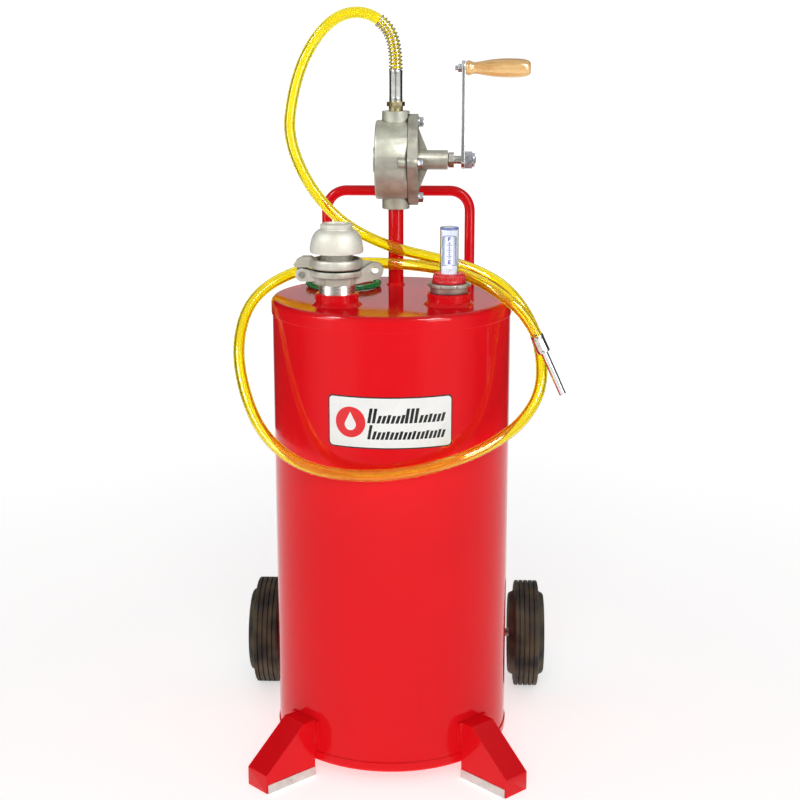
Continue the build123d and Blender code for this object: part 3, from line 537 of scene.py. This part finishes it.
def ring_solid(name, centre, radius, thick, sides=10, count=96, ripple=0.0, ripples=0, flatten=1.0):
    """A round ring, or a rippled bead, about a vertical axis."""
    points, faces = [], []
    for i in range(count):
        angle = 2 * pi * i / count
        size = thick * (1 + ripple * sin(ripples * angle) + 0.5 * ripple * sin(0.37 * ripples * angle))
        for j in range(sides):
            roll = 2 * pi * j / sides
            out = radius + size * cos(roll)
            points.append((centre.x + out * cos(angle), centre.y + out * sin(angle),
                           centre.z + flatten * size * sin(roll)))
    for i in range(count):
        for j in range(sides):
            a, b = i * sides + j, i * sides + (j + 1) % sides
            c, d = (i + 1) % count * sides + j, (i + 1) % count * sides + (j + 1) % sides
            faces.append((a, c, d, b))
    return mesh_from(name, points, faces)


FILM_R = 0.0134


def bent_bars(name, spans, low_r, high_r):
    """One mesh of closed bars bent round the vial's axis, given as (x, x, z, z) over its back half."""
    points, faces = [], []
    for x0, x1, z0, z1 in spans:
        start_angle, end_angle = asin(x0 / FILM_R), asin(x1 / FILM_R)
        parts = max(1, round((end_angle - start_angle) / 0.12))
        start = len(points)
        for angle in steps(start_angle, end_angle, parts):
            for radius in (low_r, high_r):
                for z in (z0, z1):
                    points.append((GAUGE.x + radius * sin(angle), GAUGE.y + radius * cos(angle), z))
        for i in range(parts):
            c, d = start + 4 * i, start + 4 * i + 4
            faces += [(c, d, d + 1, c + 1), (c + 2, c + 3, d + 3, d + 2),
                      (c, c + 2, d + 2, d), (c + 1, d + 1, d + 3, c + 3)]
        last = start + 4 * parts
        faces += [(start, start + 1, start + 3, start + 2), (last, last + 2, last + 3, last + 1)]
    return mesh_from(name, points, faces, smooth=False)


EMPTY, FULL = COLLAR_LOW + 0.0265, COLLAR_LOW + 0.0752
LINE, THIN = 0.001, 0.0007


def frame_spans():
    """The printed frame between the empty and the full line."""
    half = 0.0104
    spans = [(-half, half, level - LINE / 2, level + LINE / 2) for level in (EMPTY, FULL)]
    for side in (-half, half):
        spans.append((side - THIN / 2, side + THIN / 2, EMPTY + LINE, FULL - LINE))
    return spans


def letter_spans(base, width, height, stroke, rungs):
    """A letter F or E: an upright and its rungs, at shares of its height."""
    spans = [(-width / 2, -width / 2 + stroke, base, base + height)]
    for share in rungs:
        z = base + share * (height - stroke)
        reach = 0.3 * width if share == 0.5 else width / 2
        spans.append((-width / 2 + stroke, reach, z, z + stroke))
    return spans


def tick_spans(low, high):
    """Nine ticks on a broken line; those at the quarters are longer."""
    spans = []
    arm = 0.0016
    for i in range(9):
        z = low + (high - low) * (i + 0.5) / 9
        reach = 0.0050 if i in (1, 4, 7) else 0.0020
        spans += [(-reach, reach, z - THIN / 2, z + THIN / 2),
                  (-THIN / 2, THIN / 2, z - arm, z - THIN / 2),
                  (-THIN / 2, THIN / 2, z + THIN / 2, z + arm)]
    return spans


def note_spans():
    """A row of plain dashes under the empty line."""
    pitch, half, low, high = 0.002, 0.0007, 0.0042, 0.0036
    return [(x - half, x + half, EMPTY - low, EMPTY - high)
            for x in (-0.006 + pitch * i for i in range(7))]


def make_scale():
    """A film round the vial's back half, with painted shade at its sides, a frame, quarter ticks and
    letters F and E.
    """
    low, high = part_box("gauge_scale")[0].z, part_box("gauge_scale")[1].z
    data = bent_bars("scale_liner", [(-0.0131, 0.0131, low, high)], FILM_R - 0.0002, FILM_R)
    add_object("scale_liner", data, "tank", "gauge_scale", slot="scale_film")
    # Painted shade: grey-blue bars over the film's sides, where the curved film looks darker.
    band, band_half, side_low, side_high = 0.0082, 0.0008, 0.0104, 0.0129
    painted_shade_spans = [(side * band - band_half, side * band + band_half, EMPTY, FULL) for side in (-1, 1)]
    painted_shade_spans += [(-side_high, -side_low, EMPTY, FULL), (side_low, side_high, EMPTY, FULL)]
    data = bent_bars("scale_shades", painted_shade_spans, FILM_R - 0.0003, FILM_R - 0.0001)
    add_object("scale_shades", data, "tank", slot="scale_film")
    width, height, stroke, gap = 0.0046, 0.0064, 0.0015, 0.0022
    f_low, e_low = FULL - gap - height, EMPTY + gap
    spans = frame_spans()
    spans += letter_spans(f_low, width, height, stroke, (0.5, 1.0))
    spans += letter_spans(e_low, width, height, stroke, (0.0, 0.5, 1.0))
    spans += tick_spans(e_low + height + 0.002, f_low - 0.002)
    spans += note_spans()
    data = bent_bars("scale_marks", spans, FILM_R - 0.00045, FILM_R - 0.00015)
    add_object("scale_marks", data, "tank", slot="scale_film")


def make_gauge_rings():
    """The black seal under the collar, and a dark blue ring inside the vial's top."""
    centre = Vector((GAUGE.x, GAUGE.y, COLLAR_LOW))
    add_object("gauge_seal", ring_solid("gauge_seal", centre, 0.0275, 0.0009), "tank",
               slot="cap_gasket")
    film_top = Vector((GAUGE.x, GAUGE.y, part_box("gauge_scale")[1].z + 0.001))
    add_object("vial_ring", ring_solid("vial_ring", film_top, 0.0123, 0.0010, flatten=1.5), "tank",
               slot="scale_film")


make_collar()
make_scale()
make_gauge_rings()


# ---------------------------------------------------------------- weld beads
def make_welds():
    """Rippled beads round the drum's two seams, and one up the shell at the back."""
    top = Vector((DRUM_AXIS.x, DRUM_AXIS.y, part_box("top_head")[0].z))
    bottom = Vector((DRUM_AXIS.x, DRUM_AXIS.y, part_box("bottom_head")[1].z))
    for name, centre in (("top_seam_weld", top), ("bottom_seam_weld", bottom)):
        data = ring_solid(name, centre, SHELL_R + 0.0004, 0.0012, count=720, ripple=0.14, ripples=230)
        add_object(name, data, "tank", slot="tank_paint")
    bead_r, end_gap, count = 0.0021, 0.0015, 420
    low, high = bottom.z + end_gap, top.z - end_gap
    rings = []
    for i in range(count + 1):
        z = low + (high - low) * i / count
        size = bead_r * (1 + 0.12 * sin(0.9 * i) + 0.06 * sin(0.23 * i))
        rings.append([(DRUM_AXIS.x + size * cos(pi * j / 4),
                       DRUM_AXIS.y + SHELL_R - 0.0004 + 0.6 * size * sin(pi * j / 4), z)
                      for j in range(8)])
    add_object("shell_seam_weld", solid_of_rings("shell_seam_weld", rings), "tank", slot="tank_paint")


make_welds()


# ---------------------------------------------------------------- materials
def tone(red, green, blue):
    """A shader colour from an everyday one of 0 to 255."""
    def channel(value):
        share = value / 255
        return share / 12.92 if share <= 0.04045 else ((share + 0.055) / 1.055) ** 2.4
    return (channel(red), channel(green), channel(blue), 1.0)


class Look:
    """A procedural material whose colour, gloss and height vary over the surface."""

    def __init__(self, name, colour, roughness, metallic=0.0, **sockets):
        self.material = bpy.data.materials.new(name)
        self.material.use_nodes = True
        self.nodes = self.material.node_tree.nodes
        self.links = self.material.node_tree.links
        self.shader = self.nodes["Principled BSDF"]
        self.place = self.nodes.new("ShaderNodeTexCoord").outputs["Object"]
        self.colour = None
        self.normal = None
        self.base = colour
        self.shader.inputs["Base Color"].default_value = colour
        self.shader.inputs["Roughness"].default_value = roughness
        self.shader.inputs["Metallic"].default_value = metallic
        for socket, value in sockets.items():
            self.shader.inputs[socket.replace("_", " ")].default_value = value

    def noise(self, scale, detail=3.0, stretch=(1, 1, 1), low=0.38, high=0.62, distortion=0.0):
        """A value from 0 to 1 in blotches about 1 / scale metres wide."""
        mapping = self.nodes.new("ShaderNodeMapping")
        mapping.inputs["Scale"].default_value = stretch
        self.links.new(self.place, mapping.inputs["Vector"])
        texture = self.nodes.new("ShaderNodeTexNoise")
        texture.inputs["Scale"].default_value = scale
        texture.inputs["Detail"].default_value = detail
        texture.inputs["Distortion"].default_value = distortion
        self.links.new(mapping.outputs["Vector"], texture.inputs["Vector"])
        return self.spread(texture.outputs["Fac"], low, high, 0.0, 1.0)

    def spread(self, value, low, high, out_low, out_high):
        """Map a value's range to another, and stop at its ends."""
        ranged = self.nodes.new("ShaderNodeMapRange")
        ranged.inputs["From Min"].default_value = low
        ranged.inputs["From Max"].default_value = high
        ranged.inputs["To Min"].default_value = out_low
        ranged.inputs["To Max"].default_value = out_high
        self.links.new(value, ranged.inputs["Value"])
        return ranged.outputs["Result"]

    def along(self, axis):
        """The place along X, Y or Z."""
        split = self.nodes.new("ShaderNodeSeparateXYZ")
        self.links.new(self.place, split.inputs["Vector"])
        return split.outputs[axis]

    def tint(self, value, colour, amount=1.0):
        """Blend another colour in where the value is high."""
        mix = self.nodes.new("ShaderNodeMix")
        mix.data_type = "RGBA"
        self.links.new(self.spread(value, 0.0, 1.0, 0.0, amount), mix.inputs[0])
        if self.colour:
            self.links.new(self.colour, mix.inputs[6])
        else:
            mix.inputs[6].default_value = self.base
        mix.inputs[7].default_value = colour
        self.colour = mix.outputs[2]
        self.links.new(self.colour, self.shader.inputs["Base Color"])
        return self

    def painted_corner_shade(self, reach, colour, amount=0.8):
        """Paint shade into the corners where other surfaces come within reach."""
        shade = self.nodes.new("ShaderNodeAmbientOcclusion")
        shade.samples = 6
        shade.inputs["Distance"].default_value = reach
        return self.tint(self.spread(shade.outputs["AO"], 0.45, 0.95, 1.0, 0.0), colour, amount)

    def gloss(self, value, low, high):
        """Let the roughness run from low to high with the value."""
        self.links.new(self.spread(value, 0.0, 1.0, low, high), self.shader.inputs["Roughness"])
        return self

    def relief(self, value, depth, strength=1.0):
        """Raise the surface by a depth in metres where the value is high."""
        bump = self.nodes.new("ShaderNodeBump")
        bump.inputs["Strength"].default_value = strength
        bump.inputs["Distance"].default_value = depth
        self.links.new(value, bump.inputs["Height"])
        if self.normal:
            self.links.new(self.normal, bump.inputs["Normal"])
        self.normal = bump.outputs["Normal"]
        self.links.new(self.normal, self.shader.inputs["Normal"])
        return self


def red_paint(name):
    """Gloss red paint over sheet steel, with a faint waviness."""
    look = Look(name, tone(236, 18, 28), 0.08, Specular_IOR_Level=0.16)
    look.tint(look.noise(5, 2), tone(228, 15, 25), 0.4)
    look.gloss(look.noise(40, 3), 0.05, 0.1)
    return look.relief(look.noise(180, 1.0, low=0.2, high=0.8), 0.00001)


def cast_metal(name, light, dark, metallic, low, high, grain=900):
    """Sand-cast alloy: grainy and mottled, with painted shade in its corners. Low and high bound the
    roughness.
    """
    look = Look(name, light, low, metallic)
    look.tint(look.noise(38, 4), dark, 0.55)
    look.tint(look.noise(grain * 0.6, 2, low=0.55, high=0.75), dark, 0.35)
    look.gloss(look.noise(60, 4), low, high)
    # Painted shade: a dark copy of the cast colour wherever other surfaces come near.
    look.painted_corner_shade(0.005, tuple(0.3 * part for part in dark[:3]) + (1.0,))
    look.relief(look.noise(90, 3, low=0.2, high=0.8), 0.0003, 0.6)
    return look.relief(look.noise(grain, 2, low=0.2, high=0.8), 0.00026)


def plated(name, light, dark, low, high):
    """Zinc-plated or plain steel, with cloudy patches."""
    look = Look(name, light, low, 1.0)
    look.tint(look.noise(120, 5), dark, 0.5)
    look.gloss(look.noise(90, 4), low, high)
    return look.relief(look.noise(700, 2, low=0.1, high=0.9), 0.00001)


def turned_metal(name, light, dark, low, high, stretch):
    """Bright metal with fine tool lines across the stretched axes."""
    look = Look(name, light, low, 1.0)
    look.tint(look.noise(60, 4), dark, 0.35)
    look.gloss(look.noise(80, 4, stretch), low, high)
    return look.relief(look.noise(900, 1, stretch, low=0.1, high=0.9), 0.000004)


def rubber(name, colour, dust, amount):
    """Matt rubber or fibre with dust on it."""
    look = Look(name, colour, 0.7, Specular_IOR_Level=0.35)
    look.tint(look.noise(30, 5), dust, amount)
    look.gloss(look.noise(60, 4), 0.55, 0.85)
    return look.relief(look.noise(800, 3), 0.0001)


def plastic(name, colour, shade, low, high):
    """Moulded plastic, a little uneven in colour and gloss."""
    look = Look(name, colour, low)
    look.tint(look.noise(50, 3), shade, 0.5)
    look.gloss(look.noise(70, 3), low, high)
    return look.relief(look.noise(500, 2), 0.00004)


def film(name, colour):
    """Printed film, or the ink on it."""
    look = Look(name, colour, 0.25)
    look.tint(look.noise(25, 3), tuple(0.9 * part for part in colour[:3]) + (1.0,), 0.4)
    look.gloss(look.noise(30, 3), 0.2, 0.32)
    return look.relief(look.noise(180, 2), 0.00002)


def pine(name):
    """Lacquered pine with its grain along X."""
    look = Look(name, tone(248, 204, 134), 0.3, Coat_Weight=0.6, Coat_Roughness=0.15)
    rings = look.noise(120, 3, (0.07, 1, 1), 0.42, 0.6, distortion=0.4)
    look.tint(rings, tone(224, 162, 88), 0.75)
    look.tint(look.noise(420, 4, (0.03, 1, 1), 0.55, 0.7), tone(150, 92, 42), 0.45)
    look.gloss(look.noise(90, 3), 0.22, 0.4)
    return look.relief(look.noise(400, 3, (0.04, 1, 1)), 0.00006)


def clear(name, colour, ior, roughness, transmission=1.0):
    """Clear plastic, tinted by its colour."""
    look = Look(name, colour, roughness, IOR=ior, Transmission_Weight=transmission)
    look.gloss(look.noise(20, 2), roughness, roughness + 0.02)
    return look.tint(look.noise(12, 2), tuple(0.93 * part for part in colour[:3]) + (1.0,), 0.5)


LOOKS = {
    "tank_paint": red_paint("tank_paint"),
    "cart_paint": red_paint("cart_paint"),
    "label_film": film("label_film", tone(246, 246, 244)),
    "foot_strip": turned_metal("foot_strip", tone(214, 214, 210), tone(170, 168, 162), 0.28, 0.45,
                               (1, 1, 8)),
    "wheel_steel": plated("wheel_steel", tone(196, 197, 198), tone(150, 150, 148), 0.25, 0.4),
    "tyre_rubber": rubber("tyre_rubber", tone(36, 34, 30), tone(112, 100, 74), 0.5),
    "axle_steel": plated("axle_steel", tone(190, 188, 182), tone(140, 138, 130), 0.3, 0.45),
    "pump_casting": cast_metal("pump_casting", tone(208, 209, 194), tone(160, 158, 142), 0.55,
                               0.32, 0.46),
    "cover_casting": cast_metal("cover_casting", tone(190, 188, 174), tone(140, 137, 122), 0.55,
                                0.32, 0.46),
    "gasket_fibre": rubber("gasket_fibre", tone(70, 66, 58), tone(110, 102, 88), 0.5),
    "zinc_fasteners": plated("zinc_fasteners", tone(206, 210, 214), tone(140, 146, 158), 0.22, 0.4),
    "shaft_steel": turned_metal("shaft_steel", tone(200, 198, 194), tone(150, 146, 140), 0.2, 0.35,
                                (10, 1, 1)),
    "rotor_iron": cast_metal("rotor_iron", tone(120, 116, 110), tone(80, 76, 70), 0.9, 0.35, 0.55),
    "vane_plastic": plastic("vane_plastic", tone(190, 170, 120), tone(160, 140, 96), 0.4, 0.6),
    "packing_fibre": rubber("packing_fibre", tone(90, 84, 72), tone(130, 120, 100), 0.5),
    "packing_nut_steel": plated("packing_nut_steel", tone(180, 178, 170), tone(120, 116, 106),
                                0.3, 0.5),
    "crank_steel": turned_metal("crank_steel", tone(222, 222, 220), tone(190, 190, 188), 0.14, 0.26,
                                (1, 1, 0.08)),
    "grip_wood": pine("grip_wood"),
    "nipple_steel": turned_metal("nipple_steel", tone(222, 219, 210), tone(190, 184, 172), 0.22,
                                 0.34, (1, 1, 9)),
    "cap_casting": cast_metal("cap_casting", tone(222, 220, 206), tone(168, 163, 146), 0.45, 0.34,
                              0.5),
    "dome_casting": cast_metal("dome_casting", tone(246, 245, 232), tone(222, 217, 200), 0.2, 0.38,
                               0.52, 1200),
    "cap_pin_steel": plated("cap_pin_steel", tone(200, 198, 190), tone(140, 136, 126), 0.3, 0.45),
    "cap_gasket": rubber("cap_gasket", tone(28, 27, 26), tone(60, 56, 50), 0.4),
    "gauge_zinc": cast_metal("gauge_zinc", tone(206, 203, 192), tone(150, 145, 132), 0.6, 0.28,
                             0.42),
    "gauge_red_plastic": plastic("gauge_red_plastic", tone(232, 26, 36), tone(204, 16, 28), 0.22,
                                 0.36),
    "vial_clear": clear("vial_clear", (0.97, 0.98, 1.0, 1.0), 1.46, 0.0),
    "scale_film": film("scale_film", tone(226, 229, 236)),
    "gauge_inner": turned_metal("gauge_inner", tone(196, 190, 176), tone(150, 142, 124), 0.25, 0.4,
                                (1, 1, 6)),
    "float_rubber": rubber("float_rubber", tone(36, 34, 33), tone(70, 64, 58), 0.4),
    "suction_steel": plated("suction_steel", tone(176, 174, 168), tone(120, 116, 108), 0.35, 0.55),
    "hose_pvc": clear("hose_pvc", tone(255, 241, 52), 1.45, 0.0, 0.94),
    "ferrule_zinc": plated("ferrule_zinc", tone(214, 216, 212), tone(176, 176, 170), 0.14, 0.26),
    "fitting_brass": plated("fitting_brass", tone(200, 188, 150), tone(146, 130, 92), 0.25, 0.42),
    "spring_steel": turned_metal("spring_steel", tone(212, 208, 198), tone(160, 154, 140), 0.14,
                                 0.28, (3, 3, 3)),
    "nozzle_steel": turned_metal("nozzle_steel", tone(226, 226, 226), tone(200, 200, 202), 0.06,
                                 0.14, (1, 1, 0.2)),
    "wire_green": plastic("wire_green", tone(12, 162, 90), tone(6, 122, 66), 0.22, 0.36),
    "wire_hardware": plated("wire_hardware", tone(200, 190, 160), tone(150, 136, 104), 0.28, 0.45),
}


def wear(piece, look):
    """Give a piece one material."""
    piece.data.materials.clear()
    piece.data.materials.append(look.material)
    for polygon in getattr(piece.data, "polygons", []):
        polygon.material_index = 0


for part in frame["record"]["subparts"]:
    wear(nodes[part["node"]], LOOKS[part["material_slot"]])
for piece in bpy.data.objects:
    if "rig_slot" in piece and "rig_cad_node" not in piece:
        wear(piece, LOOKS[piece["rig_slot"]])

# The clear vial lets light through to the film inside it.
nodes["gauge_vial"].visible_shadow = False

label_black = film("label_black", tone(26, 24, 20))
INKS = {
    "label_border": label_black,
    "label_disc": film("label_red", tone(236, 28, 38)),
    "scale_marks": film("scale_ink", tone(38, 30, 150)),
    # Painted shade on the scale's sides.
    "scale_shades": film("painted_side_shade", tone(150, 163, 176)),
    "vial_ring": film("ring_tint", tone(84, 106, 164)),
}
for name, ink in INKS.items():
    wear(bpy.data.objects[name], ink)
for piece in bpy.data.objects:
    if piece.name.startswith("label_mark"):
        wear(piece, label_black)
wear(nodes["gauge_indicator"], plastic("indicator_white", tone(228, 230, 236), tone(206, 210, 220),
                                       0.25, 0.4))

EDGE_WIDTHS = {
    "pump_body": 0.0012, "pump_cover": 0.001, "fill_body": 0.001, "fill_lid": 0.0008,
    "left_foot": 0.0012, "right_foot": 0.0012, "cover_bolts": 0.0005, "packing_nut": 0.0006,
    "hose_fitting": 0.0006, "gauge_bushing": 0.0008, "foot_pads": 0.0005, "crank_arm": 0.0007,
    "handle_brackets": 0.0008, "axle_brackets": 0.0008,
}
for name, width in EDGE_WIDTHS.items():
    bevelled(nodes[name], width)


# ---------------------------------------------------------------- stage and lights
FLOOR_NEAR, FLOOR_FAR = 0.8, 4.0
GLOW_NEAR, GLOW_FAR = 0.57, 0.87
NEAR_FLOOR_R, FAR_FLOOR_R = 2.2, 8.5
WHITE_R, GLOSS_R, CLEAR_R = 9.0, 8.6, 8.2
LEFT_BOX, RIGHT_BOX = (-1.9, -1.1, 2.7), (1.5, -1.6, 2.7)


def make_floor(name, inner, outer, mirrored):
    """A flat white ring or disc, which glossy and clear things see only if it is mirrored.

    It glows a little, and more so further out, so that it fades into the white round it.
    """
    sides = 96
    circle = [Vector((cos(2 * pi * j / sides), sin(2 * pi * j / sides), 0)) for j in range(sides)]
    if inner:
        points = [point * inner for point in circle] + [point * outer for point in circle]
        faces = [(j, sides + j, sides + (j + 1) % sides, (j + 1) % sides) for j in range(sides)]
    else:
        points = [point * outer for point in circle]
        faces = [tuple(range(sides))]
    floor = bpy.data.objects.new(name, mesh_from(name, points, faces, smooth=False))
    scene.collection.objects.link(floor)
    look = Look(name, (0.86, 0.86, 0.86, 1.0), 0.6, Specular_IOR_Level=0.2)
    look.shader.inputs["Emission Color"].default_value = (1, 1, 1, 1)
    away = look.nodes.new("ShaderNodeVectorMath")
    away.operation = "LENGTH"
    look.links.new(look.place, away.inputs[0])
    look.links.new(look.spread(away.outputs["Value"], FLOOR_NEAR, FLOOR_FAR, GLOW_NEAR, GLOW_FAR),
                   look.shader.inputs["Emission Strength"])
    look.material.cycles.emission_sampling = "NONE"
    wear(floor, look)
    floor.visible_glossy = mirrored
    floor.visible_transmission = mirrored


def dome(name, radius):
    """A glowing sphere round the set, and its material."""
    data = bpy.data.meshes.new(name)
    shape = bmesh.new()
    bmesh.ops.create_uvsphere(shape, u_segments=48, v_segments=24, radius=radius)
    shape.to_mesh(data)
    shape.free()
    sphere = bpy.data.objects.new(name, data)
    scene.collection.objects.link(sphere)
    look = Look(name, (0, 0, 0, 1), 1.0, Specular_IOR_Level=0.0)
    look.shader.inputs["Emission Color"].default_value = (1, 1, 1, 1)
    look.shader.inputs["Emission Strength"].default_value = 1.0
    look.material.cycles.emission_sampling = "NONE"
    wear(sphere, look)
    sphere.visible_diffuse = False
    sphere.visible_shadow = False
    return sphere, look


def boards(name, radius, stops, overhead):
    """A dome of white boards and dark gaps, with a ceiling of the overhead brightness.

    Each stop gives degrees from straight behind, to either side, and the brightness there.
    """
    ceiling_low, ceiling_high = 0.62, 0.72
    sphere, look = dome(name, radius)
    sphere.visible_camera = False
    turn = look.nodes.new("ShaderNodeMath")
    turn.operation = "ARCTAN2"
    look.links.new(look.along("X"), turn.inputs[0])
    look.links.new(look.along("Y"), turn.inputs[1])
    aside = look.nodes.new("ShaderNodeMath")
    aside.operation = "ABSOLUTE"
    look.links.new(turn.outputs[0], aside.inputs[0])
    ramp = look.nodes.new("ShaderNodeValToRGB")
    for degrees, level in stops[2:]:
        ramp.color_ramp.elements.new(degrees / 180)
    for element, (degrees, level) in zip(ramp.color_ramp.elements, stops):
        element.position = degrees / 180
        element.color = (level, level, level, 1)
    look.links.new(look.spread(aside.outputs[0], 0, pi, 0, 1), ramp.inputs[0])
    above = look.spread(look.along("Z"), radius * ceiling_low, radius * ceiling_high, 0.0, 1.0)
    mix = look.nodes.new("ShaderNodeMix")
    mix.data_type = "RGBA"
    look.links.new(above, mix.inputs[0])
    look.links.new(ramp.outputs[0], mix.inputs[6])
    mix.inputs[7].default_value = (overhead, overhead, overhead, 1)
    look.links.new(mix.outputs[2], look.shader.inputs["Emission Color"])
    return sphere


def make_surround():
    """White all round for the camera, and other boards for gloss and for clear plastic."""
    white, look = dome("white_surround", WHITE_R)
    look.shader.inputs["Emission Strength"].default_value = 1.1
    white.visible_glossy = False
    white.visible_transmission = False
    gloss = boards("gloss_boards", GLOSS_R,
                   [(0, 0.62), (18, 0.62), (22, 0.03), (88, 0.06), (102, 0.5),
                    (116, 1.0), (144, 1.0), (156, 0.4), (180, 0.3)], overhead=0.6)
    gloss.visible_transmission = False
    clear_side = boards("clear_boards", CLEAR_R,
                        [(0, 1.0), (26, 1.0), (36, 0.12), (80, 0.12), (100, 0.5), (180, 0.5)],
                        overhead=0.9)
    clear_side.visible_glossy = False


def area_light(name, place, target, size, power, glossy=True, diffuse=True):
    """A rectangular softbox that points at a target."""
    data = bpy.data.lights.new(name, "AREA")
    data.shape = "RECTANGLE"
    data.size, data.size_y = size
    data.energy = power
    light = bpy.data.objects.new(name, data)
    light.location = place
    light.rotation_euler = (Vector(target) - Vector(place)).to_track_quat("-Z", "Y").to_euler()
    light.visible_glossy = glossy
    light.visible_diffuse = diffuse
    scene.collection.objects.link(light)
    return light


def group(name, pieces):
    """A collection of the pieces that a light is for."""
    chosen = bpy.data.collections.new(name)
    for piece in pieces:
        chosen.objects.link(piece)
    return chosen


def make_streaks():
    """Tall strips that only the polished and clear pieces catch, and boxes for the tank's rounded rim."""
    pieces = [bpy.data.objects[name] for name in
              ("dispensing_hose", "nozzle_ferrule_crimped", "bonding_wire")]
    pieces += [nodes[name] for name in
               ("top_head", "nozzle_tube", "crank_arm", "fill_nipple", "fill_bung", "gauge_bung",
                "riser_pipe", "rear_handle", "wood_grip")]
    polished = group("polished", pieces)
    knuckle = group("knuckle", [nodes["top_head"]])
    for name, place, aim_z, size, power, receivers in (
            ("left_strip", (-1.95, -1.22, 1.4), 1.2, (0.7, 1.9), 30, polished),
            ("right_strip", (1.63, -1.63, 1.4), 1.2, (0.9, 1.9), 42, polished),
            ("left_rim_box", LEFT_BOX, 0.8, (0.55, 0.8), 130, knuckle),
            ("right_rim_box", RIGHT_BOX, 0.8, (1.0, 0.8), 230, knuckle)):
        light = area_light(name, place, (0, 0, aim_z), size, power, diffuse=False)
        light.light_linking.receiver_collection = receivers


make_floor("near_floor", 0.0, NEAR_FLOOR_R, mirrored=True)
make_floor("far_floor", NEAR_FLOOR_R, FAR_FLOOR_R, mirrored=False)
make_surround()
area_light("key", (0.2, -3.6, 2.4), (0, 0, 0.6), (2.4, 2.0), 57, glossy=False)
area_light("left_softbox", LEFT_BOX, (0, 0, 0.8), (0.55, 0.8), 40, diffuse=False)
area_light("right_softbox", RIGHT_BOX, (0, 0, 0.8), (1.0, 0.8), 70, diffuse=False)
make_streaks()

world = bpy.data.worlds.new("studio")
world.use_nodes = True
world.node_tree.nodes["Background"].inputs["Color"].default_value = (1, 1, 1, 1)
world.node_tree.nodes["Background"].inputs["Strength"].default_value = 0.32
world.cycles_visibility.glossy = False
scene.world = world
scene.view_settings.view_transform = "Standard"
